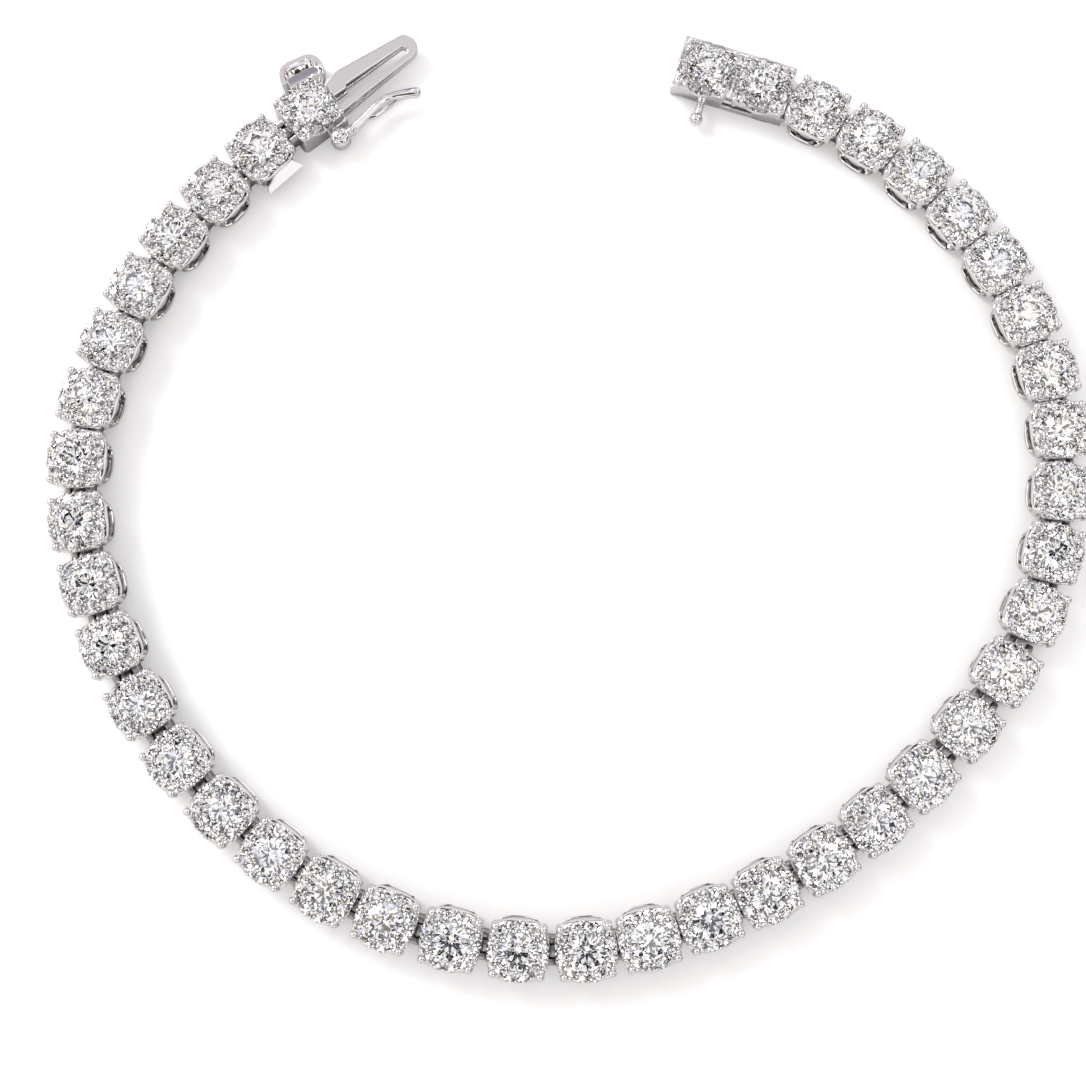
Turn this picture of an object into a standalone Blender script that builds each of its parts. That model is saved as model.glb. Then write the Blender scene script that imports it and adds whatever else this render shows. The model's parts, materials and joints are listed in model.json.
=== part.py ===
"""Open halo tennis bracelet in white metal, laid in a loop on its back.

Thirty-eight cluster links run from a tongue link to a two-head clasp box. Each link
has a round centre stone on a domed plate, four corner prongs, a rim, a basket with a
crescent window through it, outer knuckles with a pin at one end and a central
knuckle with a bore at the other. A safety lever turns beside the tongue link.

In a link's own frame +X points to the next link, +Y to the inside of the loop and
+Z away from the surface that the bracelet lies on, which is at zero.
"""

import math

import bmesh
import bpy
import numpy as np
from mathutils import Matrix

MM = 0.001
COLLECTION = "halo_tennis_bracelet"

# Cluster head
HEAD_SIDES = 12
HEAD_RADIUS = 2.07 * MM
HEAD_SQUARENESS = 3.0
PLATE_HEIGHT = 2.16 * MM
PLATE_THICKNESS = 0.40 * MM
STONE_RADIUS = 1.30 * MM
STONE_SIDES = 8
TABLE_RADIUS = 0.74 * MM
TABLE_HEIGHT = 2.80 * MM

# Corner prongs
PRONG_CENTRE = 1.93 * MM
PRONG_FOOT_RADIUS = 0.28 * MM
PRONG_TIP_RADIUS = 0.19 * MM
PRONG_SIDES = 5
PRONG_RISE = 0.42 * MM
PRONG_SEAT = 0.03 * MM

# Basket under the plate
WAIST_HEIGHT = 1.32 * MM
BASKET_HALF_LENGTH = 1.15 * MM
BASKET_HALF_WIDTH = 2.07 * MM
BASKET_FOOT_HALF_WIDTH = 1.92 * MM
WINDOW_TOP_HALF_LENGTH = 0.84 * MM
WINDOW_BOTTOM_HALF_LENGTH = 0.50 * MM
WINDOW_BOTTOM = 0.50 * MM
WINDOW_TOP = 1.22 * MM

# Hinge between neighbours
HINGE_REACH = 2.165 * MM
HINGE_HEIGHT = 0.66 * MM
KNUCKLE_RADIUS = 0.64 * MM
BORE_RADIUS = 0.49 * MM
BORE_SIDES = 6
PIN_RADIUS = 0.15 * MM
PIN_SIDES = 5
CENTRAL_HALF_WIDTH = 0.38 * MM
KNUCKLE_SIDE_GAP = 0.14 * MM
KNUCKLE_HALF_SPAN = 1.70 * MM
KNUCKLE_ROOT = 1.00 * MM

# Tag plate on the second link
TAG_LENGTH = 3.30 * MM
TAG_HEIGHT = 1.35 * MM
TAG_THICKNESS = 0.28 * MM
TAG_SLANT = math.radians(35)
TAG_OFFSET = 2.20 * MM
TAG_CENTRE_HEIGHT = 1.05 * MM

# Tongue link
TONGUE_BODY_HALF = 1.85 * MM
BODY_TOP = 1.66 * MM
TONGUE_HINGE_REACH = 2.265 * MM
NOTCH_DEPTH = 0.42 * MM
POCKET_DEPTH = 0.65 * MM

# Spring tongue
TONGUE_LENGTH = 7.35 * MM
TONGUE_HALF_WIDTH = 1.35 * MM
TONGUE_TIP_HALF_WIDTH = 1.05 * MM
LEAF_THICKNESS = 0.34 * MM
LEAF_TOP = 1.45 * MM
FREE_LEAF_BOTTOM = 0.32 * MM
SLOT_HALF_WIDTH = 0.40 * MM
SLOT_TIP_HALF_WIDTH = 0.26 * MM
SLOT_END_WALL = 0.85 * MM
SEAT_GAP = 0.08 * MM
TAB_THICKNESS = 0.38 * MM
TAB_HEIGHT = 1.35 * MM
TAB_STANDOFF = 3.45 * MM
TAB_BACK = 0.20 * MM

# Safety lever and its pivot
PIVOT_ALONG = 0.60 * MM
PIVOT_OUT = 2.72 * MM
PIVOT_RADIUS = 0.20 * MM
PIVOT_TOP = 1.98 * MM
PIVOT_CAP_RADIUS = 0.36 * MM
PIVOT_CAP_THICKNESS = 0.16 * MM
BRACKET_BOTTOM = 0.12 * MM
BRACKET_THICKNESS = 0.34 * MM
BARREL_RADIUS = 0.62 * MM
BARREL_CLEARANCE = 0.10 * MM
BARREL_SIDES = 12
LEVER_HEIGHT = 1.20 * MM
LEVER_WIRE_RADIUS = 0.21 * MM
LEVER_TIP_RADIUS = 0.32 * MM
LEVER_LENGTH = 6.30 * MM
LEVER_CURL = 0.72 * MM
EYE_HALF_HEIGHT = 0.60 * MM
STRAND_OFFSET = 0.05 * MM

# Clasp box
BOX_HEAD_SPACING = 4.14 * MM
BOX_HALF_LENGTH = 4.08 * MM
BOX_HALF_WIDTH = 2.10 * MM
BOX_WALL = 0.34 * MM
BOX_FLOOR = 0.24 * MM
MOUTH_TOP = 1.50 * MM
RECESS_DEPTH = 1.00 * MM
RECESS_TOP = 1.44 * MM
BOX_SLOT_LENGTH = 2.30 * MM
BOX_SLOT_HEIGHT = 0.26 * MM
POST_FROM_MOUTH = 2.30 * MM
POST_HEIGHT = 0.90 * MM
POST_RADIUS = 0.32 * MM
POST_REACH = 3.25 * MM
BALL_RADIUS = 0.48 * MM

# Route of the head centres: x, y, and how many links lead to the next point
ROUTE = [
    (-18.15 * MM, 27.15 * MM, 1),
    (-21.50 * MM, 24.25 * MM, 3),
    (-29.60 * MM, 14.35 * MM, 3),
    (-33.40 * MM, 2.25 * MM, 3),
    (-30.65 * MM, -10.45 * MM, 3),
    (-22.90 * MM, -21.35 * MM, 3),
    (-12.05 * MM, -28.40 * MM, 3),
    (1.00 * MM, -30.35 * MM, 3),
    (12.85 * MM, -26.65 * MM, 3),
    (23.25 * MM, -19.15 * MM, 3),
    (31.15 * MM, -8.25 * MM, 3),
    (33.35 * MM, 4.30 * MM, 3),
    (29.55 * MM, 16.10 * MM, 3),
    (21.00 * MM, 25.10 * MM, 2),
    (13.55 * MM, 28.85 * MM, 1),
    (9.60 * MM, 30.10 * MM, 0),
]
TONGUE_HEADING = math.radians(38)

# Outward lean of the links: share of the chain, degrees
LEAN = [(0.00, 0.0), (0.12, 6.0), (0.50, 8.0), (0.72, 3.0), (0.90, 1.0), (1.00, 0.0)]
LEAN_PIVOT_HEIGHT = 2.30 * MM

# Figure-eight lever: share of its length, half height of the eye there as a share of
# the eye's own, and share of the tip's outward curl
LEVER_FORM = [
    (0.00, 0.45, 0.10),
    (0.14, 1.00, 0.05),
    (0.28, 0.85, -0.05),
    (0.38, 0.30, -0.15),
    (0.48, 0.80, -0.22),
    (0.62, 1.00, -0.25),
    (0.76, 0.55, -0.15),
    (0.88, 0.15, 0.30),
    (1.00, 0.00, 1.00),
]


def metal(name, colour, roughness):
    """A polished white metal."""
    material = bpy.data.materials.new(name)
    material.use_nodes = True
    shader = material.node_tree.nodes["Principled BSDF"]
    shader.inputs["Base Color"].default_value = (*colour, 1.0)
    shader.inputs["Metallic"].default_value = 1.0
    shader.inputs["Roughness"].default_value = roughness
    return material


def stone():
    """A colourless cut stone."""
    material = bpy.data.materials.new("colourless_stone")
    material.use_nodes = True
    shader = material.node_tree.nodes["Principled BSDF"]
    shader.inputs["Base Color"].default_value = (0.95, 0.96, 0.98, 1.0)
    shader.inputs["Roughness"].default_value = 0.02
    shader.inputs["IOR"].default_value = 2.42
    return material


def solid(name, bm):
    """A scratch object from a bmesh, with its faces turned outwards."""
    bmesh.ops.recalc_face_normals(bm, faces=bm.faces[:])
    mesh = bpy.data.meshes.new(name)
    bm.to_mesh(mesh)
    bm.free()
    thing = bpy.data.objects.new(name, mesh)
    bpy.context.scene.collection.objects.link(thing)
    return thing


def combined(base, joined=(), cut=()):
    """The mesh of base with other solids joined to it and then others cut from it."""
    for operation, tools in (("UNION", joined), ("DIFFERENCE", cut)):
        for tool in tools:
            modifier = base.modifiers.new(operation.lower(), "BOOLEAN")
            modifier.operation = operation
            modifier.object = tool
            modifier.solver = "EXACT"
    depsgraph = bpy.context.evaluated_depsgraph_get()
    mesh = bpy.data.meshes.new_from_object(base.evaluated_get(depsgraph))
    for thing in (base, *joined, *cut):
        bpy.data.objects.remove(thing)
    return mesh


def box(name, low, high):
    """A box between two corners."""
    bm = bmesh.new()
    bmesh.ops.create_cube(bm, size=1.0)
    low, high = np.array(low), np.array(high)
    for vertex in bm.verts:
        vertex.co = low + (np.array(vertex.co) + 0.5) * (high - low)
    return solid(name, bm)


def prism(name, outline, start, end, axis="Y"):
    """A flat outline carried along Y (outline in X and Z) or along Z (in X and Y)."""
    bm = bmesh.new()
    if axis == "Y":
        near = [bm.verts.new((a, start, b)) for a, b in outline]
        step = (0.0, end - start, 0.0)
    else:
        near = [bm.verts.new((a, b, start)) for a, b in outline]
        step = (0.0, 0.0, end - start)
    face = bm.faces.new(near)
    carried = bmesh.ops.extrude_face_region(bm, geom=[face], use_keep_orig=True)
    moved = [item for item in carried["geom"] if isinstance(item, bmesh.types.BMVert)]
    bmesh.ops.translate(bm, verts=moved, vec=step)
    return solid(name, bm)


def frustum(name, foot_radius, tip_radius, foot, tip, sides, turn=None):
    """A cone frustum between two points; it stands along Z unless turned."""
    bm = bmesh.new()
    centre = [(a + b) / 2 for a, b in zip(foot, tip)]
    depth = math.dist(foot, tip)
    place = Matrix.Translation(centre) @ (turn or Matrix.Identity(4))
    bmesh.ops.create_cone(
        bm, cap_ends=True, segments=sides, radius1=foot_radius, radius2=tip_radius,
        depth=depth, matrix=place)
    return solid(name, bm)


def turned(name, profile, steps):
    """A turned solid from a profile of radius and height, given from top to bottom."""
    bm = bmesh.new()
    rows = [bm.verts.new((radius, 0.0, height)) for radius, height in profile]
    for first, second in zip(rows, rows[1:]):
        bm.edges.new((first, second))
    mesh = bpy.data.meshes.new(name)
    bm.to_mesh(mesh)
    bm.free()
    thing = bpy.data.objects.new(name, mesh)
    bpy.context.scene.collection.objects.link(thing)
    screw = thing.modifiers.new("turn", "SCREW")
    screw.steps = steps
    screw.render_steps = steps
    screw.use_merge_vertices = True
    screw.merge_threshold = 0.000001
    return thing


def ring_points(half_length, half_width, squareness, height):
    """Points of a superellipse, with flats on the four sides."""
    angles = (np.arange(HEAD_SIDES) + 0.5) * 2 * np.pi / HEAD_SIDES
    cos, sin = np.cos(angles), np.sin(angles)
    share = (np.abs(cos) ** squareness + np.abs(sin) ** squareness) ** (-1 / squareness)
    return np.column_stack(
        [half_length * cos * share, half_width * sin * share, np.full(HEAD_SIDES, height)])


def head(name, lower_rings):
    """The metal of a cluster head, lofted from its plate down through lower rings."""
    rows = [(HEAD_RADIUS, HEAD_RADIUS, HEAD_SQUARENESS, PLATE_HEIGHT), *lower_rings]
    bm = bmesh.new()
    rings = [[bm.verts.new(point) for point in ring_points(*row)] for row in rows]
    bm.faces.new(rings[0])
    bm.faces.new(rings[-1])
    for upper, lower in zip(rings, rings[1:]):
        for k in range(HEAD_SIDES):
            after = (k + 1) % HEAD_SIDES
            bm.faces.new((upper[k], upper[after], lower[after], lower[k]))
    thing = solid(name, bm)
    thing.data.materials.append(WHITE_METAL)
    thing.data.materials.append(STONE)
    return thing


def centre_stone(centre_x=0.0):
    """The crown and table of a round stone, seated in the plate."""
    seat = PLATE_HEIGHT - PLATE_THICKNESS / 2
    crown = frustum("stone", STONE_RADIUS, TABLE_RADIUS, (centre_x, 0.0, seat),
                    (centre_x, 0.0, TABLE_HEIGHT), STONE_SIDES)
    crown.data.materials.append(WHITE_METAL)
    crown.data.materials.append(STONE)
    for face in crown.data.polygons:
        face.material_index = 1
    return crown


def prongs(centre_x=0.0):
    """Four corner prongs of one head, seated in the plate."""
    made = []
    for sign_x in (1, -1):
        for sign_y in (1, -1):
            x = centre_x + sign_x * PRONG_CENTRE * math.sqrt(0.5)
            y = sign_y * PRONG_CENTRE * math.sqrt(0.5)
            foot = (x, y, PLATE_HEIGHT - PRONG_SEAT)
            tip = (x, y, PLATE_HEIGHT + PRONG_RISE)
            made.append(frustum(
                "prong", PRONG_FOOT_RADIUS, PRONG_TIP_RADIUS, foot, tip, PRONG_SIDES))
    return made


def knuckle_outline(centre, root):
    """A round-nosed outline from its root to the far side of a hinge centre."""
    side = 1 if centre > root else -1
    arc = [math.radians(angle) for angle in (67.5, 22.5, -22.5, -67.5)]
    nose = [(centre + side * KNUCKLE_RADIUS * math.cos(a),
             HINGE_HEIGHT + KNUCKLE_RADIUS * math.sin(a)) for a in arc]
    return [(root, nose[0][1]), *nose, (root, nose[-1][1])]


def outer_knuckles(reach, root):
    """Two solid knuckles and the pin between them, at the +X end."""
    inner = CENTRAL_HALF_WIDTH + KNUCKLE_SIDE_GAP
    outline = knuckle_outline(reach, root)
    pair = [prism("knuckle", outline, inner, KNUCKLE_HALF_SPAN),
            prism("knuckle", outline, -KNUCKLE_HALF_SPAN, -inner)]
    lying = Matrix.Rotation(math.pi / 2, 4, "X")
    middle = inner + CENTRAL_HALF_WIDTH / 2
    pin = frustum("pin", PIN_RADIUS, PIN_RADIUS, (reach, middle, HINGE_HEIGHT),
                  (reach, -middle, HINGE_HEIGHT), PIN_SIDES, lying)
    return [*pair, pin]


def central_knuckle(reach, root):
    """The solid of the central knuckle at the -X end."""
    outline = knuckle_outline(-reach, -root)
    return prism("knuckle", outline, -CENTRAL_HALF_WIDTH, CENTRAL_HALF_WIDTH)


def bore(reach):
    """The cutter of the hole through the central knuckle."""
    wide = CENTRAL_HALF_WIDTH + KNUCKLE_SIDE_GAP
    lying = Matrix.Rotation(math.pi / 2, 4, "X")
    return frustum("bore", BORE_RADIUS, BORE_RADIUS, (-reach, wide, HINGE_HEIGHT),
                   (-reach, -wide, HINGE_HEIGHT), BORE_SIDES, lying)


def window():
    """The cutter of the window through the basket from side to side."""
    outline = [
        (-WINDOW_TOP_HALF_LENGTH, WINDOW_TOP), (WINDOW_TOP_HALF_LENGTH, WINDOW_TOP),
        (WINDOW_BOTTOM_HALF_LENGTH, WINDOW_BOTTOM),
        (-WINDOW_BOTTOM_HALF_LENGTH, WINDOW_BOTTOM)]
    return prism("window", outline, -2 * HEAD_RADIUS, 2 * HEAD_RADIUS)


def link_mesh(extra=()):
    """One cluster link; the second link has its tag plate joined to it."""
    basket = head("link", [
        (BASKET_HALF_LENGTH, BASKET_HALF_WIDTH, HEAD_SQUARENESS, WAIST_HEIGHT),
        (BASKET_HALF_LENGTH, BASKET_FOOT_HALF_WIDTH, HEAD_SQUARENESS, 0.0)])
    joined = [centre_stone(), *prongs(), *outer_knuckles(HINGE_REACH, KNUCKLE_ROOT),
              central_knuckle(HINGE_REACH, KNUCKLE_ROOT)]
    return combined(basket, [*joined, *extra], [window(), bore(HINGE_REACH)])


def tag_plate():
    """A bare slanted plate along the inner side of a link."""
    plate = box("tag", (-TAG_LENGTH / 2, -TAG_THICKNESS / 2, -TAG_HEIGHT / 2),
                (TAG_LENGTH / 2, TAG_THICKNESS / 2, TAG_HEIGHT / 2))
    plate.data.transform(
        Matrix.Translation((0.0, TAG_OFFSET, TAG_CENTRE_HEIGHT))
        @ Matrix.Rotation(TAG_SLANT, 4, "X"))
    return plate


def tongue_link_mesh():
    """Head on a square box body, with a pocket for the spring and the lever's pivot."""
    stub = TONGUE_BODY_HALF * 0.8
    top = head("tongue_link", [(stub, stub, HEAD_SQUARENESS, BODY_TOP - BOX_FLOOR / 2)])
    half = TONGUE_BODY_HALF
    body = box("body", (-half, -half, 0.0), (half, half, BODY_TOP))
    post_x = -PIVOT_ALONG
    bracket = box("bracket", (post_x - PIVOT_CAP_RADIUS, half - BOX_WALL, BRACKET_BOTTOM),
                  (post_x + PIVOT_CAP_RADIUS, PIVOT_OUT + PIVOT_CAP_RADIUS,
                   BRACKET_BOTTOM + BRACKET_THICKNESS))
    post = frustum("post", PIVOT_RADIUS, PIVOT_RADIUS,
                   (post_x, PIVOT_OUT, BRACKET_BOTTOM + BRACKET_THICKNESS / 2),
                   (post_x, PIVOT_OUT, PIVOT_TOP), 8)
    cap = frustum("cap", PIVOT_CAP_RADIUS, PIVOT_CAP_RADIUS,
                  (post_x, PIVOT_OUT, PIVOT_TOP - PIVOT_CAP_THICKNESS),
                  (post_x, PIVOT_OUT, PIVOT_TOP), 10)
    notch_side = CENTRAL_HALF_WIDTH + KNUCKLE_SIDE_GAP
    notch = box("notch", (half - NOTCH_DEPTH, -notch_side, -BOX_WALL),
                (2 * half, notch_side, HINGE_HEIGHT + KNUCKLE_RADIUS + 2 * SEAT_GAP))
    pocket = box("pocket", (-2 * half, -TONGUE_HALF_WIDTH - SEAT_GAP,
                            LEAF_TOP - LEAF_THICKNESS - SEAT_GAP),
                 (-half + POCKET_DEPTH, TONGUE_HALF_WIDTH + SEAT_GAP, LEAF_TOP + SEAT_GAP))
    hinge_parts = outer_knuckles(TONGUE_HINGE_REACH, half - BOX_WALL)
    joined = [centre_stone(), *prongs(), body, bracket, post, cap]
    shell = solid_of(combined(top, joined, [notch, pocket]))
    return combined(shell, hinge_parts)


def solid_of(mesh):
    """A scratch object that holds a mesh, ready for another union."""
    thing = bpy.data.objects.new(mesh.name, mesh)
    bpy.context.scene.collection.objects.link(thing)
    return thing


def tongue_outline():
    """Plan of the spring: a taper with a round tip, in X and Y."""
    root = -TONGUE_BODY_HALF + POCKET_DEPTH - SEAT_GAP
    tip = -TONGUE_BODY_HALF - TONGUE_LENGTH
    round_start = tip + TONGUE_TIP_HALF_WIDTH
    arc = [math.radians(90 + 180 * k / 8) for k in range(9)]
    nose = [(round_start + TONGUE_TIP_HALF_WIDTH * math.cos(a),
             TONGUE_TIP_HALF_WIDTH * math.sin(a)) for a in arc]
    return [(root, TONGUE_HALF_WIDTH), *nose, (root, -TONGUE_HALF_WIDTH)]


def slot_outline():
    """Plan of the slot, narrower towards the tip and round at its end."""
    start = -TONGUE_BODY_HALF - SEAT_GAP
    end = -TONGUE_BODY_HALF - TONGUE_LENGTH + SLOT_END_WALL + SLOT_TIP_HALF_WIDTH
    arc = [math.radians(90 + 180 * k / 4) for k in range(5)]
    nose = [(end + SLOT_TIP_HALF_WIDTH * math.cos(a), SLOT_TIP_HALF_WIDTH * math.sin(a))
            for a in arc]
    return [(start, SLOT_HALF_WIDTH), *nose, (start, -SLOT_HALF_WIDTH)]


def fold_outline():
    """Side view of the spring: an upper leaf folded back under itself at the tip."""
    root = -TONGUE_BODY_HALF + POCKET_DEPTH - SEAT_GAP
    free_end = -TONGUE_BODY_HALF - 2 * LEAF_THICKNESS
    tip = -TONGUE_BODY_HALF - TONGUE_LENGTH
    low = LEAF_TOP - LEAF_THICKNESS
    free_top = FREE_LEAF_BOTTOM + LEAF_THICKNESS
    return [
        (root, LEAF_TOP), (tip + LEAF_THICKNESS, LEAF_TOP),
        (tip, LEAF_TOP - 0.6 * LEAF_THICKNESS),
        (tip, low - 0.4 * LEAF_THICKNESS), (tip + LEAF_THICKNESS, low - LEAF_THICKNESS),
        (free_end, FREE_LEAF_BOTTOM), (free_end, free_top),
        (tip + 2.5 * LEAF_THICKNESS, low), (root, low)]


def tab_outline():
    """Plan of the thumb tab: an arm out from the free leaf and a strip turned back."""
    near = -TONGUE_BODY_HALF - 2 * LEAF_THICKNESS
    side = -TAB_STANDOFF
    thick = TAB_THICKNESS
    back = TAB_BACK
    corner = 2 * thick
    inner_y = -TONGUE_HALF_WIDTH + 2 * SEAT_GAP
    return [
        (near, inner_y), (near, side + thick + corner), (near + corner, side + thick),
        (back - corner, side + thick), (back - thick, side + thick + corner),
        (back, side + thick + corner), (back, side + corner), (back - corner, side),
        (near - thick + corner, side), (near - thick, side + corner),
        (near - thick, inner_y)]


def spring_tongue_mesh():
    """The folded strip with its slot and the thumb tab on its free leaf."""
    wide = 2 * TONGUE_HALF_WIDTH
    strip = prism("spring_tongue", fold_outline(), -wide, wide)
    outside = prism("plan", tongue_outline(), -2 * LEAF_TOP, 2 * LEAF_TOP, "Z")
    slot = prism("slot", slot_outline(), -2 * LEAF_TOP, 2 * LEAF_TOP, "Z")
    trim = strip.modifiers.new("plan", "BOOLEAN")
    trim.operation = "INTERSECT"
    trim.object = outside
    trim.solver = "EXACT"
    cut = combined(strip, (), [slot])
    bpy.data.objects.remove(outside)
    tab_bottom = FREE_LEAF_BOTTOM + SEAT_GAP
    tab = prism("tab", tab_outline(), tab_bottom, tab_bottom + TAB_HEIGHT, "Z")
    room = box("room", (-3 * TONGUE_BODY_HALF, -TONGUE_HALF_WIDTH - 2 * SEAT_GAP,
                        FREE_LEAF_BOTTOM + LEAF_THICKNESS - SEAT_GAP),
               (TONGUE_BODY_HALF, TONGUE_HALF_WIDTH, 2 * LEAF_TOP))
    return combined(solid_of(cut), [solid_of(combined(tab, (), [room]))])


def wire(name, points, radius):
    """A round wire along given points, made a closed mesh."""
    curve = bpy.data.curves.new(name, "CURVE")
    curve.dimensions = "3D"
    curve.bevel_depth = radius
    curve.bevel_resolution = 1
    curve.use_fill_caps = True
    spline = curve.splines.new("POLY")
    spline.points.add(len(points) - 1)
    for target, point in zip(spline.points, points):
        target.co = (*point, 1.0)
    thing = bpy.data.objects.new(name, curve)
    bpy.context.scene.collection.objects.link(thing)
    depsgraph = bpy.context.evaluated_depsgraph_get()
    mesh = bpy.data.meshes.new_from_object(thing.evaluated_get(depsgraph))
    bpy.data.objects.remove(thing)
    bm = bmesh.new()
    bm.from_mesh(mesh)
    bmesh.ops.remove_doubles(bm, verts=bm.verts[:], dist=0.000001)
    return solid(name, bm)


def lever_mesh():
    """Figure-eight lever about a vertical barrel, pointing along -X from its pivot."""
    height = PIVOT_TOP - PIVOT_CAP_THICKNESS - BRACKET_BOTTOM - BRACKET_THICKNESS
    low = BRACKET_BOTTOM + BRACKET_THICKNESS + BARREL_CLEARANCE
    high = low + height - 2 * BARREL_CLEARANCE
    barrel = frustum("safety_lever", BARREL_RADIUS, BARREL_RADIUS,
                     (0, 0, low), (0, 0, high), BARREL_SIDES)
    bore_radius = PIVOT_RADIUS + BARREL_CLEARANCE
    hole = frustum("hole", bore_radius, bore_radius, (0, 0, low - height),
                   (0, 0, high + height), 8)
    start = BARREL_RADIUS * 0.75
    strands = []
    for sign, rows in ((1, LEVER_FORM), (-1, LEVER_FORM[:-1])):
        points = [(-start - along * (LEVER_LENGTH - start),
                   curl * LEVER_CURL + sign * STRAND_OFFSET,
                   LEVER_HEIGHT + sign * eye * EYE_HALF_HEIGHT)
                  for along, eye, curl in rows]
        strands.append(wire("strand", points, LEVER_WIRE_RADIUS))
    ball = turned("ball", ball_profile(LEVER_TIP_RADIUS, 4), 8)
    ball.matrix_world = Matrix.Translation((-LEVER_LENGTH, LEVER_CURL, LEVER_HEIGHT))
    return combined(barrel, [*strands, ball], [hole])


def ball_profile(radius, rows):
    """Half a circle from the top pole to the bottom one."""
    angles = [math.pi * k / rows for k in range(rows + 1)]
    return [(radius * math.sin(a), radius * math.cos(a)) for a in angles]


def clasp_box_mesh():
    """Two heads on an open-ended box with a side slot, ball post and central knuckle."""
    half, wide = BOX_HALF_LENGTH, BOX_HALF_WIDTH
    stub = TONGUE_BODY_HALF * 0.8
    shell = box("clasp_box", (-half, -wide, 0.0), (half, wide, BODY_TOP))
    heads = []
    for side in (1, -1):
        centre = side * BOX_HEAD_SPACING / 2
        top = head("head", [(stub, stub, HEAD_SQUARENESS, BODY_TOP - BOX_FLOOR / 2)])
        top.data.transform(Matrix.Translation((centre, 0.0, 0.0)))
        heads.extend([top, centre_stone(centre), *prongs(centre)])
    post_x = half - POST_FROM_MOUTH
    lying = Matrix.Rotation(math.pi / 2, 4, "X")
    post = frustum("post", POST_RADIUS, POST_RADIUS, (post_x, wide - BOX_WALL / 2, POST_HEIGHT),
                   (post_x, POST_REACH, POST_HEIGHT), 8, lying)
    ball = turned("ball", ball_profile(BALL_RADIUS, 6), 10)
    ball.matrix_world = Matrix.Translation((post_x, POST_REACH, POST_HEIGHT))
    hinge_reach = BOX_HEAD_SPACING / 2 + HINGE_REACH
    knuckle = prism("knuckle", knuckle_outline(-hinge_reach, -half + BOX_WALL / 2),
                    -CENTRAL_HALF_WIDTH, CENTRAL_HALF_WIDTH)
    inside = box("inside", (-half + RECESS_DEPTH + BOX_FLOOR, -wide + BOX_WALL, BOX_FLOOR),
                 (2 * half, wide - BOX_WALL, MOUTH_TOP))
    near, far = CENTRAL_HALF_WIDTH + KNUCKLE_SIDE_GAP / 2, KNUCKLE_HALF_SPAN + KNUCKLE_SIDE_GAP
    recesses = [box("recess", (-2 * half, low, -BOX_WALL), (-half + RECESS_DEPTH, high, RECESS_TOP))
                for low, high in ((near, far), (-far, -near))]
    slot_end = BOX_WALL - BOX_SLOT_LENGTH
    slot = box("slot", (slot_end, wide - 2 * BOX_WALL, POST_HEIGHT),
               (slot_end + BOX_SLOT_LENGTH, 2 * wide, POST_HEIGHT + BOX_SLOT_HEIGHT))
    return combined(shell, [*heads, post, ball, knuckle],
                    [inside, slot, *recesses, bore(hinge_reach)])


def route_points():
    """Head centres: each leg of the smooth route is shared out evenly among its links."""
    points = np.array([row[:2] for row in ROUTE])
    chord = np.hypot(*np.diff(points, axis=0).T)
    slope = np.diff(points, axis=0) / chord[:, None]
    weight = chord[:-1, None] + chord[1:, None]
    inner = (slope[1:] * chord[:-1, None] + slope[:-1] * chord[1:, None]) / weight
    tangent = np.vstack([2 * slope[0] - inner[0], inner, 2 * slope[-1] - inner[-1]])
    t = np.linspace(0.0, 1.0, 61)[:, None]
    stations = []
    for k, (_, _, links) in enumerate(ROUTE[:-1]):
        leg = ((2 * t**3 - 3 * t**2 + 1) * points[k]
               + (t**3 - 2 * t**2 + t) * chord[k] * tangent[k]
               + (3 * t**2 - 2 * t**3) * points[k + 1]
               + (t**3 - t**2) * chord[k] * tangent[k + 1])
        length = np.append(0.0, np.cumsum(np.hypot(*np.diff(leg, axis=0).T)))
        for share in np.arange(links) / links * length[-1]:
            stations.append([np.interp(share, length, leg[:, i]) for i in (0, 1)])
    return np.array([*stations, points[-1]])


def station_matrix(centre, heading, lean):
    """A leaned piece's place, with its lowest edge on the surface."""
    lift = LEAN_PIVOT_HEIGHT * math.cos(lean) + BASKET_FOOT_HALF_WIDTH * math.sin(lean)
    return (Matrix.Translation((centre[0], centre[1], lift))
            @ Matrix.Rotation(heading, 4, "Z") @ Matrix.Rotation(lean, 4, "X")
            @ Matrix.Translation((0.0, 0.0, -LEAN_PIVOT_HEIGHT)))


def placed(name, mesh, material, collection, matrix, parent):
    """A named part in its collection, at a place in the bracelet's frame."""
    thing = bpy.data.objects.new(name, mesh)
    if not mesh.materials:
        mesh.materials.append(material)
    collection.objects.link(thing)
    thing.parent = parent
    thing.matrix_world = matrix
    return thing


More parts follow.
